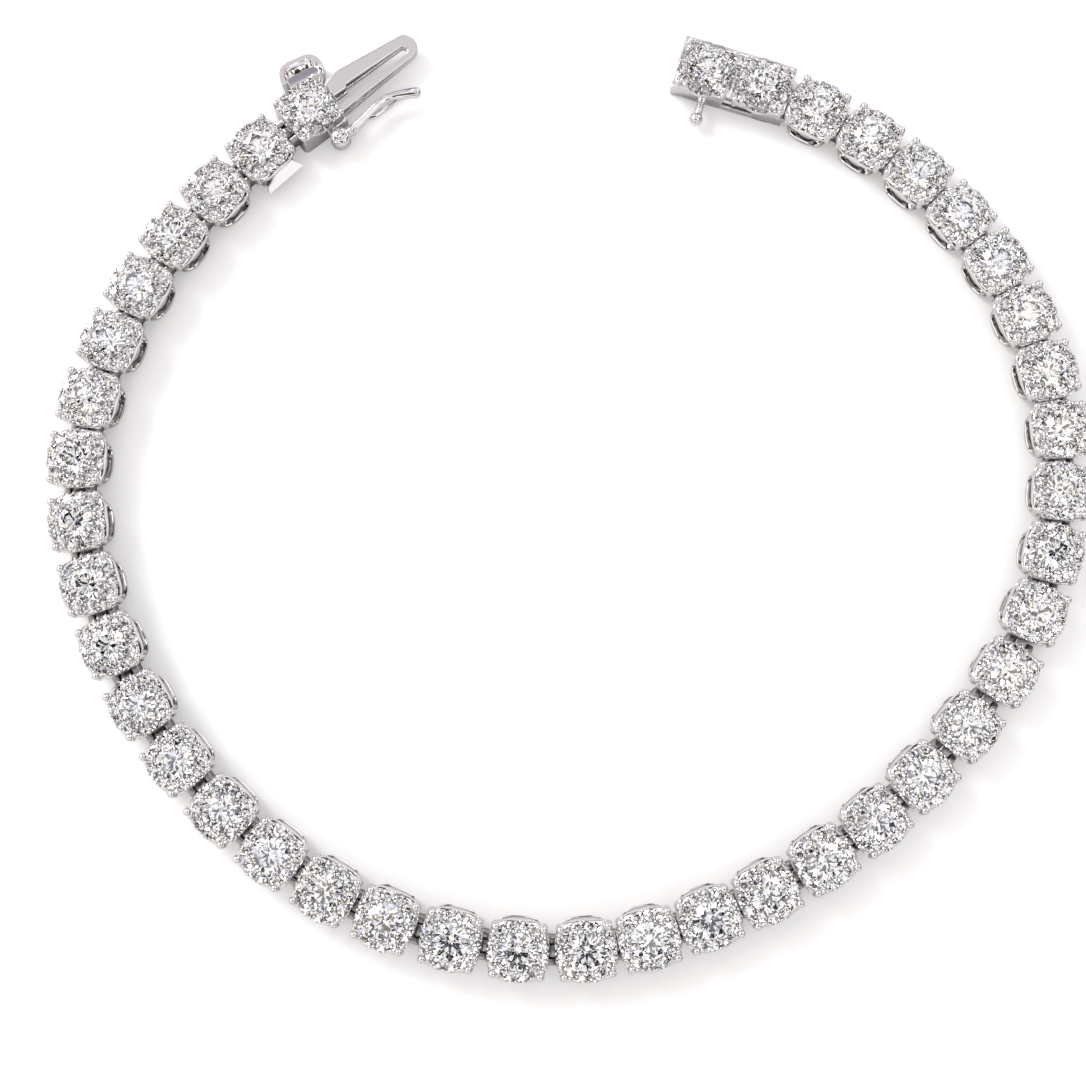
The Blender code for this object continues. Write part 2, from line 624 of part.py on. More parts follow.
def build():
    """Make every piece, then centre the bracelet over the origin."""
    for thing in list(bpy.data.objects):
        bpy.data.objects.remove(thing)
    collection = bpy.data.collections.new(COLLECTION)
    bpy.context.scene.collection.children.link(collection)
    frame = bpy.data.objects.new("bracelet_frame", None)
    collection.objects.link(frame)

    centres = route_points()
    last = len(centres) - 1
    plain, tagged = link_mesh(), link_mesh([tag_plate()])
    parts = []
    for k in range(1, last - 1):
        ahead = centres[k + 1] - centres[k - 1]
        heading = math.atan2(ahead[1], ahead[0])
        lean = math.radians(np.interp(k / last, *zip(*LEAN)))
        mesh = tagged if k == 1 else plain
        matrix = station_matrix(centres[k], heading, lean)
        parts.append(placed(f"link_{k + 1:02d}", mesh, WHITE_METAL, collection, matrix, frame))

    tongue_place = station_matrix(centres[0], TONGUE_HEADING - math.pi, 0.0)
    for name, mesh in (("tongue_link", tongue_link_mesh()),
                       ("spring_tongue", spring_tongue_mesh())):
        parts.append(placed(name, mesh, CLASP_METAL, collection, tongue_place, frame))
    pivot = tongue_place @ Matrix.Translation((-PIVOT_ALONG, PIVOT_OUT, 0.0))
    parts.append(placed("safety_lever", lever_mesh(), LEVER_METAL, collection, pivot, frame))

    across = centres[last] - centres[last - 1]
    middle = (centres[last] + centres[last - 1]) / 2
    box_place = station_matrix(middle, math.atan2(across[1], across[0]), 0.0)
    parts.append(placed("clasp_box", clasp_box_mesh(), CLASP_METAL, collection, box_place, frame))

    bpy.context.view_layer.update()
    corners = np.array([part.matrix_world @ vertex.co for part in parts
                        for vertex in part.data.vertices])
    low, high = corners.min(axis=0), corners.max(axis=0)
    frame.location = (-(low[0] + high[0]) / 2, -(low[1] + high[1]) / 2, -low[2])


WHITE_METAL = metal("white_gold", (0.86, 0.85, 0.84), 0.12)
CLASP_METAL = metal("white_gold_clasp", (0.84, 0.83, 0.83), 0.10)
LEVER_METAL = metal("white_gold_wire", (0.82, 0.82, 0.82), 0.08)
STONE = stone()
build()
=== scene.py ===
"""Looks of an open halo tennis bracelet in white gold, lying on a pale surface.

Every new piece is worked out with numpy as whole arrays of points: a grid of two
parameters, or a section carried along a path. A shape is a pair of its points and a list
of face arrays. In a head's own frame +X points to the next link, +Y to the inside of the
loop and +Z away from the surface that the bracelet lies on. Lengths are millimetres, and
make_piece, make_camera and studio turn them into Blender's metres.
"""

import json
import math

import bpy
import numpy as np
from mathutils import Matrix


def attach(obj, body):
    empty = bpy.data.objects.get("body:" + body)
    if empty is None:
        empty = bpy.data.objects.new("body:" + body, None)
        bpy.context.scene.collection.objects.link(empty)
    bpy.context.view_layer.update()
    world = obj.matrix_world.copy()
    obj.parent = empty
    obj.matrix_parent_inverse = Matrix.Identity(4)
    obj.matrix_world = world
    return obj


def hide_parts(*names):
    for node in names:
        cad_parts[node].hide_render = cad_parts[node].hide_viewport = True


MM = 0.001
SEED = 41
SHARP_ANGLE = math.radians(38)
CORNER_STEPS = 3

# Route of the head centres: x, y, and how many links lead to the next point
ROUTE = [
    (-18.15, 27.15, 1), (-21.50, 24.25, 3), (-29.60, 14.35, 3), (-33.40, 2.25, 3),
    (-30.65, -10.45, 3), (-22.90, -21.35, 3), (-12.05, -28.40, 3), (1.00, -30.35, 3),
    (12.85, -26.65, 3), (23.25, -19.15, 3), (31.15, -8.25, 3), (33.35, 4.30, 3),
    (29.55, 16.10, 3), (21.00, 25.10, 2), (13.55, 28.85, 1), (9.60, 30.10, 0)]
TONGUE_HEADING = math.radians(38)
# Sideways lean in degrees by the share of the way round
LEAN = [(0.00, 0.0), (0.12, 6.0), (0.50, 8.0), (0.72, 3.0), (0.90, 1.0), (1.00, 0.0)]
LEAN_PIVOT_HEIGHT = 2.30
BASKET_FOOT_HALF_WIDTH = 1.92

# Cluster head
HEAD_RADIUS = 2.06
HEAD_SQUARENESS = 3.0
CORNER_SQUARENESS = 3.4
STONE_RADIUS = 1.25
GIRDLE_HEIGHT = 2.40
HALO_COUNT = 12
HALO_RADIUS = 1.665
HALO_STONE_RADIUS = 0.432
HALO_GIRDLE_HEIGHT = 2.20
HALO_TILT = math.radians(11)
# Random tips of the stones, in radians
STONE_TIP = 0.012
HALO_TIP = 0.05
PRONG_CENTRE = 2.19
PRONG_RADIUS = 0.29
PRONG_TOP = 2.62
PRONG_NECK_RADIUS = 0.22
# Radius and height of the stem under a prong's neck
PRONG_STEM = [(0.25, 2.05), (0.30, 1.60)]
SIDE_BEAD_RADIUS = 0.17
SIDE_BEAD_CENTRE = 2.03
SIDE_BEAD_TOP = 2.42
SIDE_BEAD_ANGLE = math.radians(9.5)
SQUARE_PLATE_HALF = 1.86
SQUARE_PLATE_SHIFT = -0.08
SQUARE_PLATE_SHAPE = 13.0
SQUARE_PRONG_CENTRE = 2.31
SQUARE_PRONG_SIZE = 0.76
SQUARE_SIDE_BEADS = 1.98
SQUARE_HALO_SHARE = 0.995
BEAD_RADIUS = 0.105
OUTER_BEADS = 1.95
INNER_BEADS = 1.315
OUTER_BEAD_HEIGHT = 2.16
INNER_BEAD_HEIGHT = 2.38

# Basket and hinge
HINGE_REACH = 2.165
HINGE_HEIGHT = 0.66
KNUCKLE_RADIUS = 0.56
PIN_RADIUS = 0.15
CENTRAL_HALF_WIDTH = 0.38
KNUCKLE_SIDE_GAP = 0.14
KNUCKLE_HALF_SPAN = 0.95
KNUCKLE_ROOT = 0.90
KNUCKLE_EDGE = 0.07
POST_ANGLE = math.radians(42)
POST_THICKNESS = 0.34
END_WALL_THICKNESS = 0.30
RAIL_THICKNESS = 0.13

# Tag plate: it hangs from the rim's corners and sweeps outwards as it goes down
TAG_TOP_HALF = 1.12
TAG_FLARE = 0.46
TAG_TOP_REACH = 1.92
TAG_SWEEP = 0.70
TAG_TOP = 1.46
TAG_DROP = 0.36
TAG_BOW = 0.10
TAG_THICKNESS = 0.20

# Tongue link and spring tongue
SEAT_GAP = 0.08
SLAB_EDGE = 0.05
TONGUE_BODY_HALF = 1.85
TONGUE_HINGE_REACH = 2.265
POCKET_DEPTH = 0.65
TONGUE_ROOT_SIDES = (-1.60, 1.32)
TONGUE_TIP_SIDES = (-0.72, 1.08)
TONGUE_APEX = -9.10
LEAF_THICKNESS = 0.34
LEAF_TOP = 1.45
FREE_LEAF_BOTTOM = 0.32
SLOT_ROOT_SIDES = (-0.24, 0.86)
SLOT_TIP_SIDES = (0.03, 0.68)
SLOT_STEP = 0.24
SLOT_STEP_SHARE = 0.30
SHOULDER = 1.00
SHOULDER_SHARE = 0.34
SLOT_END = -8.20
TAB_THICKNESS = 0.42
TAB_HEIGHT = 1.35
TAB_DROP = 0.42
TAB_DROP_FROM = -2.30
TAB_DROP_RUN = 0.90
TAB_PLAN = [
    (-1.75, -1.30), (-2.20, -1.72), (-2.60, -2.20), (-2.68, -2.72), (-2.52, -3.14),
    (-2.16, -3.40), (-1.50, -3.55), (-0.78, -3.70), (-0.30, -3.60), (-0.02, -3.25),
    (0.16, -2.62)]
SCOOP = [(-2.42, -2.52, 1.20), (-1.40, -2.66, 1.20), (-0.20, -2.86, 1.20)]
SCOOP_HALF_WIDTH = 0.70
SCOOP_HALF_THICKNESS = 0.11
SCOOP_UP = (0.0, -0.20, 1.0)

# Safety lever
PIVOT_ALONG = 0.60
PIVOT_OUT = 2.72
PIVOT_RADIUS = 0.20
PIVOT_TOP = 1.98
PIVOT_CAP_RADIUS = 0.36
PIVOT_CAP_THICKNESS = 0.16
BRACKET_BOTTOM = 0.12
BRACKET_THICKNESS = 0.34
BARREL_RADIUS = 0.70
BARREL_EDGE = 0.34
LEVER_FOOT_GAP = 0.10
LEVER_GAP = 0.06
LEVER_KNOB = (-0.86, 0.06, 1.30)
LEVER_KNOB_RADIUS = 0.36
LEVER_UPPER_RADIUS = 0.28
LEVER_LOWER_RADIUS = 0.21
LEVER_TIP_RADIUS = 0.40
# The upper wire's thickness by the share of the way to its tip
LEVER_SWELL = [(0.0, 1.0), (0.70, 1.0), (0.92, 1.32), (1.0, 1.36)]
LEVER_UPPER = [
    (-0.50, 0.02, 1.22), (-1.00, 0.00, 1.30), (-1.90, -0.08, 1.35), (-2.60, -0.17, 1.40),
    (-3.35, -0.27, 1.45), (-4.10, -0.30, 1.42), (-4.70, -0.16, 1.36), (-5.35, 0.14, 1.32),
    (-5.95, 0.44, 1.25), (-6.22, 0.60, 1.20)]
LEVER_LOWER = [
    (-0.50, 0.14, 1.00), (-1.10, 0.10, 0.98), (-1.70, 0.03, 1.02), (-2.35, -0.06, 1.06),
    (-2.90, 0.00, 0.84), (-3.50, 0.03, 0.78), (-4.15, 0.03, 0.80), (-4.75, 0.04, 0.94),
    (-5.40, 0.22, 1.02), (-5.95, 0.48, 1.08)]

# Clasp box
BOX_HEADS = (-2.16, 1.98)
BOX_HINGE_REACH = 4.235
BOX_HALF_LENGTH = 4.08
BOX_HALF_WIDTH = 2.02
BOX_NEAR_WIDTH = 1.64
BOX_WALL = 0.34
BOX_FLOOR = 0.24
BOX_HEAD_BOTTOM = 1.62
RECESS_DEPTH = 1.00
BOX_SLOT_LENGTH = 2.30
BOX_SLOT_HEIGHT = 0.26
POST_FROM_MOUTH = 2.38
POST_HEIGHT = 0.90
POST_RADIUS = 0.27
POST_REACH = 3.25
BALL_RADIUS = 0.48
SEAM_TILT = math.radians(-70)

# Camera: the photo's tilt from straight down, distance and focal length in pixels
AIM = (-1.79, -3.60)
CAMERA_TILT = math.radians(9)
CAMERA_DISTANCE = 123
FOCAL_PIXELS = 1800
PHOTO_PIXELS = 1086
SENSOR_MM = 36.0

# The tent's shade by the upward part of the direction, from the horizon to overhead
TENT = [
    (0.00, (0.16, 0.155, 0.155)), (0.18, (0.40, 0.39, 0.39)), (0.34, (1.00, 0.99, 0.98)),
    (0.78, (1.00, 0.99, 0.98)), (0.94, (0.72, 0.71, 0.72)), (1.00, (0.60, 0.59, 0.60))]
TENT_STRENGTH = 1.54
# The tent's panels: share of them at which a shade starts
PANEL_SCALE = 4.6
PANELS = [
    (0.00, (0.003, 0.004, 0.045)), (0.22, (0.002, 0.002, 0.002)),
    (0.37, (0.035, 0.018, 0.006)), (0.40, (0.20, 0.18, 0.16)), (0.43, (0.48, 0.50, 0.60)),
    (0.48, (1.14, 1.14, 1.14)), (0.64, (0.88, 0.91, 1.00)), (0.74, (1.00, 0.94, 0.84))]
# Cards in the tent: azimuth from +Y clockwise, elevation, inner and outer angle, shade
TENT_CARDS = [
    (-13, 66, 12, 15, (0.47, 0.445, 0.46)), (122, 55, 15, 22, (0.70, 0.69, 0.71)),
    (-18, 45, 7, 11, (0.22, 0.20, 0.235))]
FLOOR_GLOW = 0.345
# Painted darker reflection: the floor's grey as mirrors and stones see it, not as the camera sees
# it
FLOOR_IN_MIRRORS = (0.90, 0.885, 0.89)
KEY_SIZE = 160.0
KEY_ENERGY = 0.85
KEY_DIRECTION = (-0.62, 0.50, 0.58)
KEY_DISTANCE = 450.0
LENS_CARD_RADIUS = 36.0
LENS_CARD_TILT = math.radians(15)
LENS_CARD_SIDES = 48
FLOOR_HALF = 600.0
FLOOR_THICKNESS = 4.0
FLOOR_EDGE = 1.0

# Round brilliant: shares of the girdle radius, angles, and share of the way to the culet
TABLE_SHARE = 0.57
SMALL_TABLE_SHARE = 0.52
CROWN_ANGLE = math.radians(34.5)
PAVILION_ANGLE = math.radians(40.8)
STAR_SHARE = 0.77
LOWER_SHARE = 0.24
GIRDLE_SHARE = 0.02
DIAMOND_REFRACTION = 2.42


def grid_faces(rows, columns, wrap_rows=False):
    """Quads of a grid: each joins a point to its neighbours in the row and the next row."""
    row = np.arange(rows if wrap_rows else rows - 1)[:, None]
    column = np.arange(columns)[None, :]
    below, beside = (row + 1) % rows, (column + 1) % columns
    corners = [row * columns + column, row * columns + beside,
               below * columns + beside, below * columns + column]
    return np.stack(corners, axis=-1).reshape(-1, 4)


def capped(points):
    """A grid of points as a closed tube: quads between its rows, and a flat face each end."""
    rows, columns = points.shape[:2]
    end = np.arange(columns)
    return points.reshape(-1, 3), [grid_faces(rows, columns)[:, ::-1], end[None],
                                   (end + (rows - 1) * columns)[None, ::-1]]


def flipped(shape):
    """A shape with its faces turned to the other side."""
    points, faces = shape
    return points, [face[:, ::-1] for face in faces]


def joined(*shapes):
    """Several shapes as one: their points in a row and their faces counted on."""
    starts = np.cumsum([0, *(len(points) for points, _ in shapes)])
    faces = [face + start for (_, faces), start in zip(shapes, starts) for face in faces]
    return np.vstack([points for points, _ in shapes]), faces


def copies(shape, matrices):
    """A shape at many places: each place's turn times the points, plus its shift."""
    points, faces = shape
    matrices = np.asarray(matrices).reshape(-1, 4, 4)
    moved = np.einsum("nij,pj->npi", matrices[:, :3, :3], points) + matrices[:, None, :3, 3]
    starts = np.arange(len(matrices)) * len(points)
    repeated = [(face[None] + starts[:, None, None]).reshape(-1, face.shape[1])
                for face in faces]
    return moved.reshape(-1, 3), repeated


def shift(x=0.0, y=0.0, z=0.0):
    """Matrices that move by x, y and z, one for each entry of the longest of them."""
    x, y, z = np.broadcast_arrays(np.asarray(x, float), y, z)
    matrix = np.tile(np.eye(4), (*x.shape, 1, 1))
    matrix[..., 0, 3], matrix[..., 1, 3], matrix[..., 2, 3] = x, y, z
    return matrix


def turn(axis, angle):
    """Matrices that turn about X, Y or Z by each angle: the cosine and sine block."""
    angle = np.asarray(angle, float)
    first, second = {"X": (1, 2), "Y": (2, 0), "Z": (0, 1)}[axis]
    matrix = np.tile(np.eye(4), (*angle.shape, 1, 1))
    matrix[..., first, first] = matrix[..., second, second] = np.cos(angle)
    matrix[..., second, first] = np.sin(angle)
    matrix[..., first, second] = -np.sin(angle)
    return matrix


def rings(rows, columns=64, closed_section=True):
    """Superellipse rings stacked by their rows of half length, half width, squareness, height.

    A ring's point at angle a lies at (cos a, sin a) times the half sizes, divided by the
    root of |cos a|**n + |sin a|**n. A closed section joins the last ring to the first, and
    an open one is closed by a flat face at each end.
    """
    half_x, half_y, power, height = np.array(rows, float).T[:, :, None]
    angle = np.arange(columns) * 2 * np.pi / columns
    cos, sin = np.cos(angle), np.sin(angle)
    share = (np.abs(cos) ** power + np.abs(sin) ** power) ** (-1 / power)
    points = np.stack([half_x * cos * share, half_y * sin * share,
                       np.broadcast_to(height, share.shape)], axis=-1)
    if closed_section:
        return points.reshape(-1, 3), [grid_faces(len(rows), columns, True)[:, ::-1]]
    return capped(points)


def revolved(profile, columns=16, closed_section=False):
    """A profile of radius and height, top to bottom and off the axis, turned round Z."""
    radius, height = np.array(profile, float).T
    return rings(np.column_stack([radius, radius, np.full(len(radius), 2.0), height]),
                 columns, closed_section)


def ball(radius, columns=16, rows=9):
    """A ball: rings of radius r sin a at height r cos a, with a small flat at each pole."""
    angle = np.linspace(0.06, math.pi - 0.06, rows)
    return revolved(np.column_stack([radius * np.sin(angle), radius * np.cos(angle)]), columns)


def corner_angles():
    """Angles of an outline with round corners, and each corner's side in x and in y."""
    quarter = np.linspace(0.0, math.pi / 2, CORNER_STEPS + 1)
    angle = np.concatenate([quarter + k * math.pi / 2 for k in range(4)])
    corners = [[1, -1, -1, 1], [1, 1, -1, -1]]
    return angle, *np.repeat(corners, CORNER_STEPS + 1, axis=1)


def soft_box(low, high, radius):
    """A box with round edges: a ball's points pushed apart towards the box's corners.

    A point of the ball in direction d goes to the centre plus sign(d) times the half size
    less the radius, plus the radius times d.
    """
    low, high = np.array(low, float), np.array(high, float)
    around, side_x, side_y = corner_angles()
    down = around[:len(around) // 2].copy()
    down[0], down[-1] = 0.02, math.pi - 0.02
    side_z = np.repeat([1, -1], CORNER_STEPS + 1)
    reach = (high - low) / 2 - radius
    ball_points = np.stack([np.sin(down)[:, None] * np.cos(around),
                            np.sin(down)[:, None] * np.sin(around),
                            np.cos(down)[:, None] * np.ones_like(around)], axis=-1)
    corner = np.stack(np.broadcast_arrays(side_x, side_y, side_z[:, None]), axis=-1)
    points = (low + high) / 2 + corner * reach + ball_points * radius
    return capped(points)


def leg_slopes(points):
    """Each leg's length and slope, and the slope at each inner point, by chord length."""
    legs = np.diff(points, axis=0)
    chord = np.linalg.norm(legs, axis=1)
    slope = legs / chord[:, None]
    before, after = chord[:-1, None], chord[1:, None]
    return chord, slope, (slope[1:] * before + slope[:-1] * after) / (before + after)


def hermite(t, start, start_slope, end, end_slope):
    """The cubic from start to end that leaves and arrives with the slopes, at shares t."""
    return ((2 * t**3 - 3 * t**2 + 1) * start + (t**3 - 2 * t**2 + t) * start_slope
            + (3 * t**2 - 2 * t**3) * end + (t**3 - t**2) * end_slope)


def smooth_path(points, count):
    """A smooth path through given points: a cubic Hermite curve by chord length."""
    points = np.asarray(points, float)
    chord, slope, inner = leg_slopes(points)
    tangent = np.vstack([slope[0], inner, slope[-1]])
    knot = np.concatenate([[0.0], np.cumsum(chord)])
    at = np.linspace(0.0, knot[-1], count)
    leg = np.clip(np.searchsorted(knot, at, "right") - 1, 0, len(chord) - 1)
    t, step = ((at - knot[leg]) / chord[leg])[:, None], chord[leg][:, None]
    return hermite(t, points[leg], step * tangent[leg], points[leg + 1], step * tangent[leg + 1])


def swept(path, section, up=(0.0, 0.0, 1.0)):
    """A closed section carried along a path.

    Each path point plus the section's first number times the side direction, which is the
    path's direction crossed with up, plus its second number times their common normal.
    The section may be one outline or one for each path point, and both ends are flat.
    """
    path, section = np.asarray(path, float), np.asarray(section, float)
    ahead = np.gradient(path, axis=0)
    ahead /= np.linalg.norm(ahead, axis=1)[:, None]
    side = np.cross(ahead, up)
    side /= np.linalg.norm(side, axis=1)[:, None]
    above = np.cross(side, ahead)
    section = np.broadcast_to(section, (len(path), *section.shape[-2:]))
    points = (path[:, None] + section[..., :1] * side[:, None]
              + section[..., 1:] * above[:, None])
    return capped(points)


def round_section(radius, sides=12):
    """A circle's outline: radius times cosine and sine."""
    angle = np.arange(sides) * 2 * np.pi / sides
    return radius * np.column_stack([np.cos(angle), np.sin(angle)])


def soft_section(half_wide, half_high, radius):
    """A rectangle with round corners: a circle's points pushed out to its corners."""
    angle, side_x, side_y = corner_angles()
    return np.column_stack([side_x * (half_wide - radius) + radius * np.cos(angle),
                            side_y * (half_high - radius) + radius * np.sin(angle)])


def brilliant(radius):
    """A round brilliant about its girdle, which lies at height zero.

    Eight table corners and eight girdle points lie on the crown's main planes, which rise
    by (1 - r cos a) tan(crown angle). The star points between them lie where two such
    planes meet. Below the girdle the same holds for the pavilion, down to the culet.
    """
    eight, sixteen = np.arange(8), np.arange(16)
    full, half = eight * math.pi / 4, (eight + 0.5) * math.pi / 4
    bend = math.cos(math.pi / 8)

    def ring(share, angle, height):
        return np.column_stack([share * np.cos(angle), share * np.sin(angle),
                                np.full(len(angle), height)])

    girdle_angle = sixteen * math.pi / 8
    points = radius * np.vstack([
        ring(TABLE_SHARE, full, GIRDLE_SHARE + (1 - TABLE_SHARE) * math.tan(CROWN_ANGLE)),
        ring(STAR_SHARE, half, GIRDLE_SHARE + (1 - STAR_SHARE * bend) * math.tan(CROWN_ANGLE)),
        ring(1.0, girdle_angle, GIRDLE_SHARE),
        ring(1.0, girdle_angle, -GIRDLE_SHARE),
        ring(LOWER_SHARE, half,
             -GIRDLE_SHARE - (1 - LOWER_SHARE * bend) * math.tan(PAVILION_ANGLE)),
        [[0.0, 0.0, -GIRDLE_SHARE - math.tan(PAVILION_ANGLE)]]])
    table, star, upper, lower, deep, culet = 0, 8, 16, 32, 48, 56
    after, before = (eight + 1) % 8, (eight - 1) % 8
    at, middle, ahead = 2 * eight, 2 * eight + 1, (2 * eight + 2) % 16
    triangles = np.vstack([
        np.column_stack([table + eight, star + eight, table + after]),
        np.column_stack([star + eight, upper + at, upper + middle]),
        np.column_stack([star + eight, upper + middle, upper + ahead]),
        np.column_stack([deep + eight, lower + middle, lower + at]),
        np.column_stack([deep + eight, lower + ahead, lower + middle])])
    band = (sixteen + 1) % 16
    quads = np.vstack([
        np.column_stack([table + eight, star + before, upper + at, star + eight]),
        np.column_stack([upper + sixteen, lower + sixteen, lower + band, upper + band]),
        np.column_stack([np.full(8, culet), deep + eight, lower + at, deep + before])])
    return points, [eight[None], triangles, quads]


def single_cut(radius):
    """A small round stone: a table, eight crown mains, a girdle and eight pavilion mains.

    The crown rises from the girdle by (1 - r) tan(crown angle), and the pavilion falls to
    the culet by tan(pavilion angle).
    """
    eight = np.arange(8)
    angle = eight * math.pi / 4
    ring = np.column_stack([np.cos(angle), np.sin(angle)])
    table_height = GIRDLE_SHARE + (1 - SMALL_TABLE_SHARE) * math.tan(CROWN_ANGLE)
    points = radius * np.vstack([
        np.column_stack([SMALL_TABLE_SHARE * ring, np.full(8, table_height)]),
        np.column_stack([ring, np.full(8, GIRDLE_SHARE)]),
        np.column_stack([ring, np.full(8, -GIRDLE_SHARE)]),
        [[0.0, 0.0, -GIRDLE_SHARE - math.tan(PAVILION_ANGLE)]]])
    after = (eight + 1) % 8
    crown = np.column_stack([eight, eight + 8, after + 8, after])
    girdle = np.column_stack([eight + 8, eight + 16, after + 16, after + 8])
    pavilion = np.column_stack([eight + 16, np.full(8, 24), after + 16])
    return points, [eight[None], crown, girdle, pavilion]


def head_stones(rng, share=1.0):
    """The centre stone and the ring of halo stones, each turned and tipped a little.

    The ring and its stones are drawn in by the share.
    """
    centre = (shift(0, 0, GIRDLE_HEIGHT) @ turn("X", rng.normal(0, STONE_TIP))
              @ turn("Y", rng.normal(0, STONE_TIP)) @ turn("Z", rng.uniform(0, math.pi / 4)))
    angle = (np.arange(HALO_COUNT) + 0.5) * 2 * np.pi / HALO_COUNT
    ring = (turn("Z", angle) @ shift(HALO_RADIUS * share, 0, HALO_GIRDLE_HEIGHT)
            @ turn("Y", HALO_TILT + rng.normal(0, HALO_TIP, HALO_COUNT))
            @ turn("X", rng.normal(0, HALO_TIP, HALO_COUNT))
            @ turn("Z", rng.uniform(0, math.pi / 4, HALO_COUNT)))
    return joined(copies(brilliant(STONE_RADIUS), centre),
                  copies(single_cut(HALO_STONE_RADIUS * share), ring))


def stone_seat():
    """The dished seat under the stones: a profile of radius and height turned round Z."""
    return revolved([
        (0.30, 1.16), (0.70, 1.40), (1.06, 1.80), (1.22, 2.16), (1.26, 2.21), (1.31, 2.17),
        (1.42, 1.88), (1.66, 1.74), (1.88, 1.88), (1.96, 2.08), (1.99, 2.03), (1.97, 1.70),
        (1.66, 1.54), (1.10, 1.52), (0.70, 1.20), (0.30, 1.00)], 48)


def corner_prongs(centre, side_centre, size=1.0):
    """Four ball-tipped prongs at the corners, with a smaller bead inside each."""
    ball_height = PRONG_TOP - PRONG_RADIUS
    stem = [(PRONG_NECK_RADIUS, ball_height), *PRONG_STEM]
    prong = joined(copies(ball(PRONG_RADIUS * size), shift(0, 0, ball_height)),
                   revolved([(radius * size, height) for radius, height in stem], 14))
    corner = (np.arange(4) + 0.5) * math.pi / 2
    prongs = copies(prong, turn("Z", corner) @ shift(centre, 0, 0))
    side_beads = copies(ball(SIDE_BEAD_RADIUS, 12, 7), turn("Z", corner + SIDE_BEAD_ANGLE)
                        @ shift(side_centre, 0, SIDE_BEAD_TOP - SIDE_BEAD_RADIUS))
    return joined(prongs, side_beads)


def fine_beads(share=1.0):
    """Small beads between neighbouring halo stones, in an outer and an inner ring.

    The outer ring is drawn in by the share.
    """
    bead = ball(BEAD_RADIUS, 8, 6)
    between = np.arange(HALO_COUNT) * 2 * np.pi / HALO_COUNT
    return copies(bead, np.vstack([
        turn("Z", between) @ shift(OUTER_BEADS * share, 0, OUTER_BEAD_HEIGHT),
        turn("Z", between) @ shift(INNER_BEADS, 0, INNER_BEAD_HEIGHT)]))


def cushion_head():
    """A link's head: cushion rim, seat, prongs and fine beads."""
    r, n = HEAD_RADIUS, HEAD_SQUARENESS
    rim = rings([
        (1.93, 1.93, 2.0, 2.08), (1.97, 1.97, 2.1, 2.08), (r - 0.06, r - 0.06, 2.3, 2.02),
        (r - 0.02, r - 0.02, 2.6, 1.93), (r - 0.01, r, n, 1.82), (r - 0.02, r, n, 1.68),
        (r - 0.05, r - 0.03, n, 1.60), (r - 0.16, r - 0.12, n, 1.55), (1.72, 1.80, 2.6, 1.56),
        (1.80, 1.82, 2.0, 1.70), (1.88, 1.88, 2.0, 2.00)])
    return joined(rim, stone_seat(), corner_prongs(PRONG_CENTRE, SIDE_BEAD_CENTRE), fine_beads())


def square_head(bottom):
    """A clasp head: a square plate with a round opening, and its walls down to a height."""
    h, n = SQUARE_PLATE_HALF, SQUARE_PLATE_SHAPE
    plate = rings([
        (1.86, 1.86, 2.4, 1.96), (h - 0.16, h - 0.16, 6.0, 2.06), (h - 0.10, h - 0.10, n, 2.14),
        (h - 0.02, h - 0.02, n, 2.14), (h, h, n, 2.11), (h, h, n, 1.90),
        (h, h, n, bottom + 0.05), (h - 0.04, h - 0.04, n, bottom), (h - 0.30, h - 0.30, n, bottom),
        (h - 0.34, h - 0.34, n, bottom + 0.05), (1.80, 1.80, 2.0, 1.60)], 96)
    return joined(copies(plate, shift(0, SQUARE_PLATE_SHIFT)), stone_seat(),
                  corner_prongs(SQUARE_PRONG_CENTRE, SQUARE_SIDE_BEADS, SQUARE_PRONG_SIZE),
                  fine_beads(SQUARE_HALO_SHARE))


def wall_patch(middle, form, thickness, columns=8):
    """A curved strip of the basket's wall about a middle angle, carried down its height.

    Rows of the form are height, half length, half width and half angle. A section point
    lies on the basket's superellipse at the middle angle plus its share across times the
    half angle, less the wall's thickness where its share of the depth is one.
    """
    height, half_x, half_y, spread = np.array(form, float).T[:, :, None]
    across = np.linspace(-1, 1, columns)
    share = np.concatenate([across, [1.0], across[::-1], [-1.0]])
    depth = np.concatenate([np.r_[0.25, np.zeros(columns - 2), 0.25], [0.5],
                            np.r_[0.8, np.ones(columns - 2), 0.8], [0.5]])
    angle = middle + share * np.radians(spread)
    cos, sin = np.cos(angle), np.sin(angle)
    power = CORNER_SQUARENESS
    size = (np.abs(cos) ** power + np.abs(sin) ** power) ** (-1 / power)
    inset = depth * thickness
    points = np.stack([(half_x - inset) * cos * size, (half_y - inset) * sin * size,
                       np.broadcast_to(height, angle.shape)], axis=-1)
    return capped(points)


def knuckle(centre_x, root_x, low_y, high_y):
    """A round-nosed lug: half a circle about the hinge closed by a flat root, carried in Y.

    The end sections are drawn in towards the hinge by the size of the round edge.
    """
    side = 1 if centre_x > root_x else -1
    arc = np.linspace(math.pi / 2, -math.pi / 2, 13)
    nose = np.column_stack([np.cos(arc), np.sin(arc)]) * KNUCKLE_RADIUS
    back = abs(centre_x - root_x)
    outline = np.vstack([nose, [[-back, -KNUCKLE_RADIUS], [-back, KNUCKLE_RADIUS]]])
    drawn_in = np.array([1.0, 0.4, 0.0, 0.0, 0.4, 1.0]) * KNUCKLE_EDGE
    inset = np.array([0.0, 0.3, 1.0]) * KNUCKLE_EDGE
    place = np.concatenate([low_y + inset, high_y - inset[::-1]])
    scale = 1 - drawn_in / KNUCKLE_RADIUS
    flat = scale[:, None, None] * outline
    points = np.stack([centre_x + side * flat[..., 0],
                       np.broadcast_to(place[:, None], flat.shape[:2]),
                       HINGE_HEIGHT + flat[..., 1]], axis=-1)
    lug = capped(points)
    return flipped(lug) if side > 0 else lug


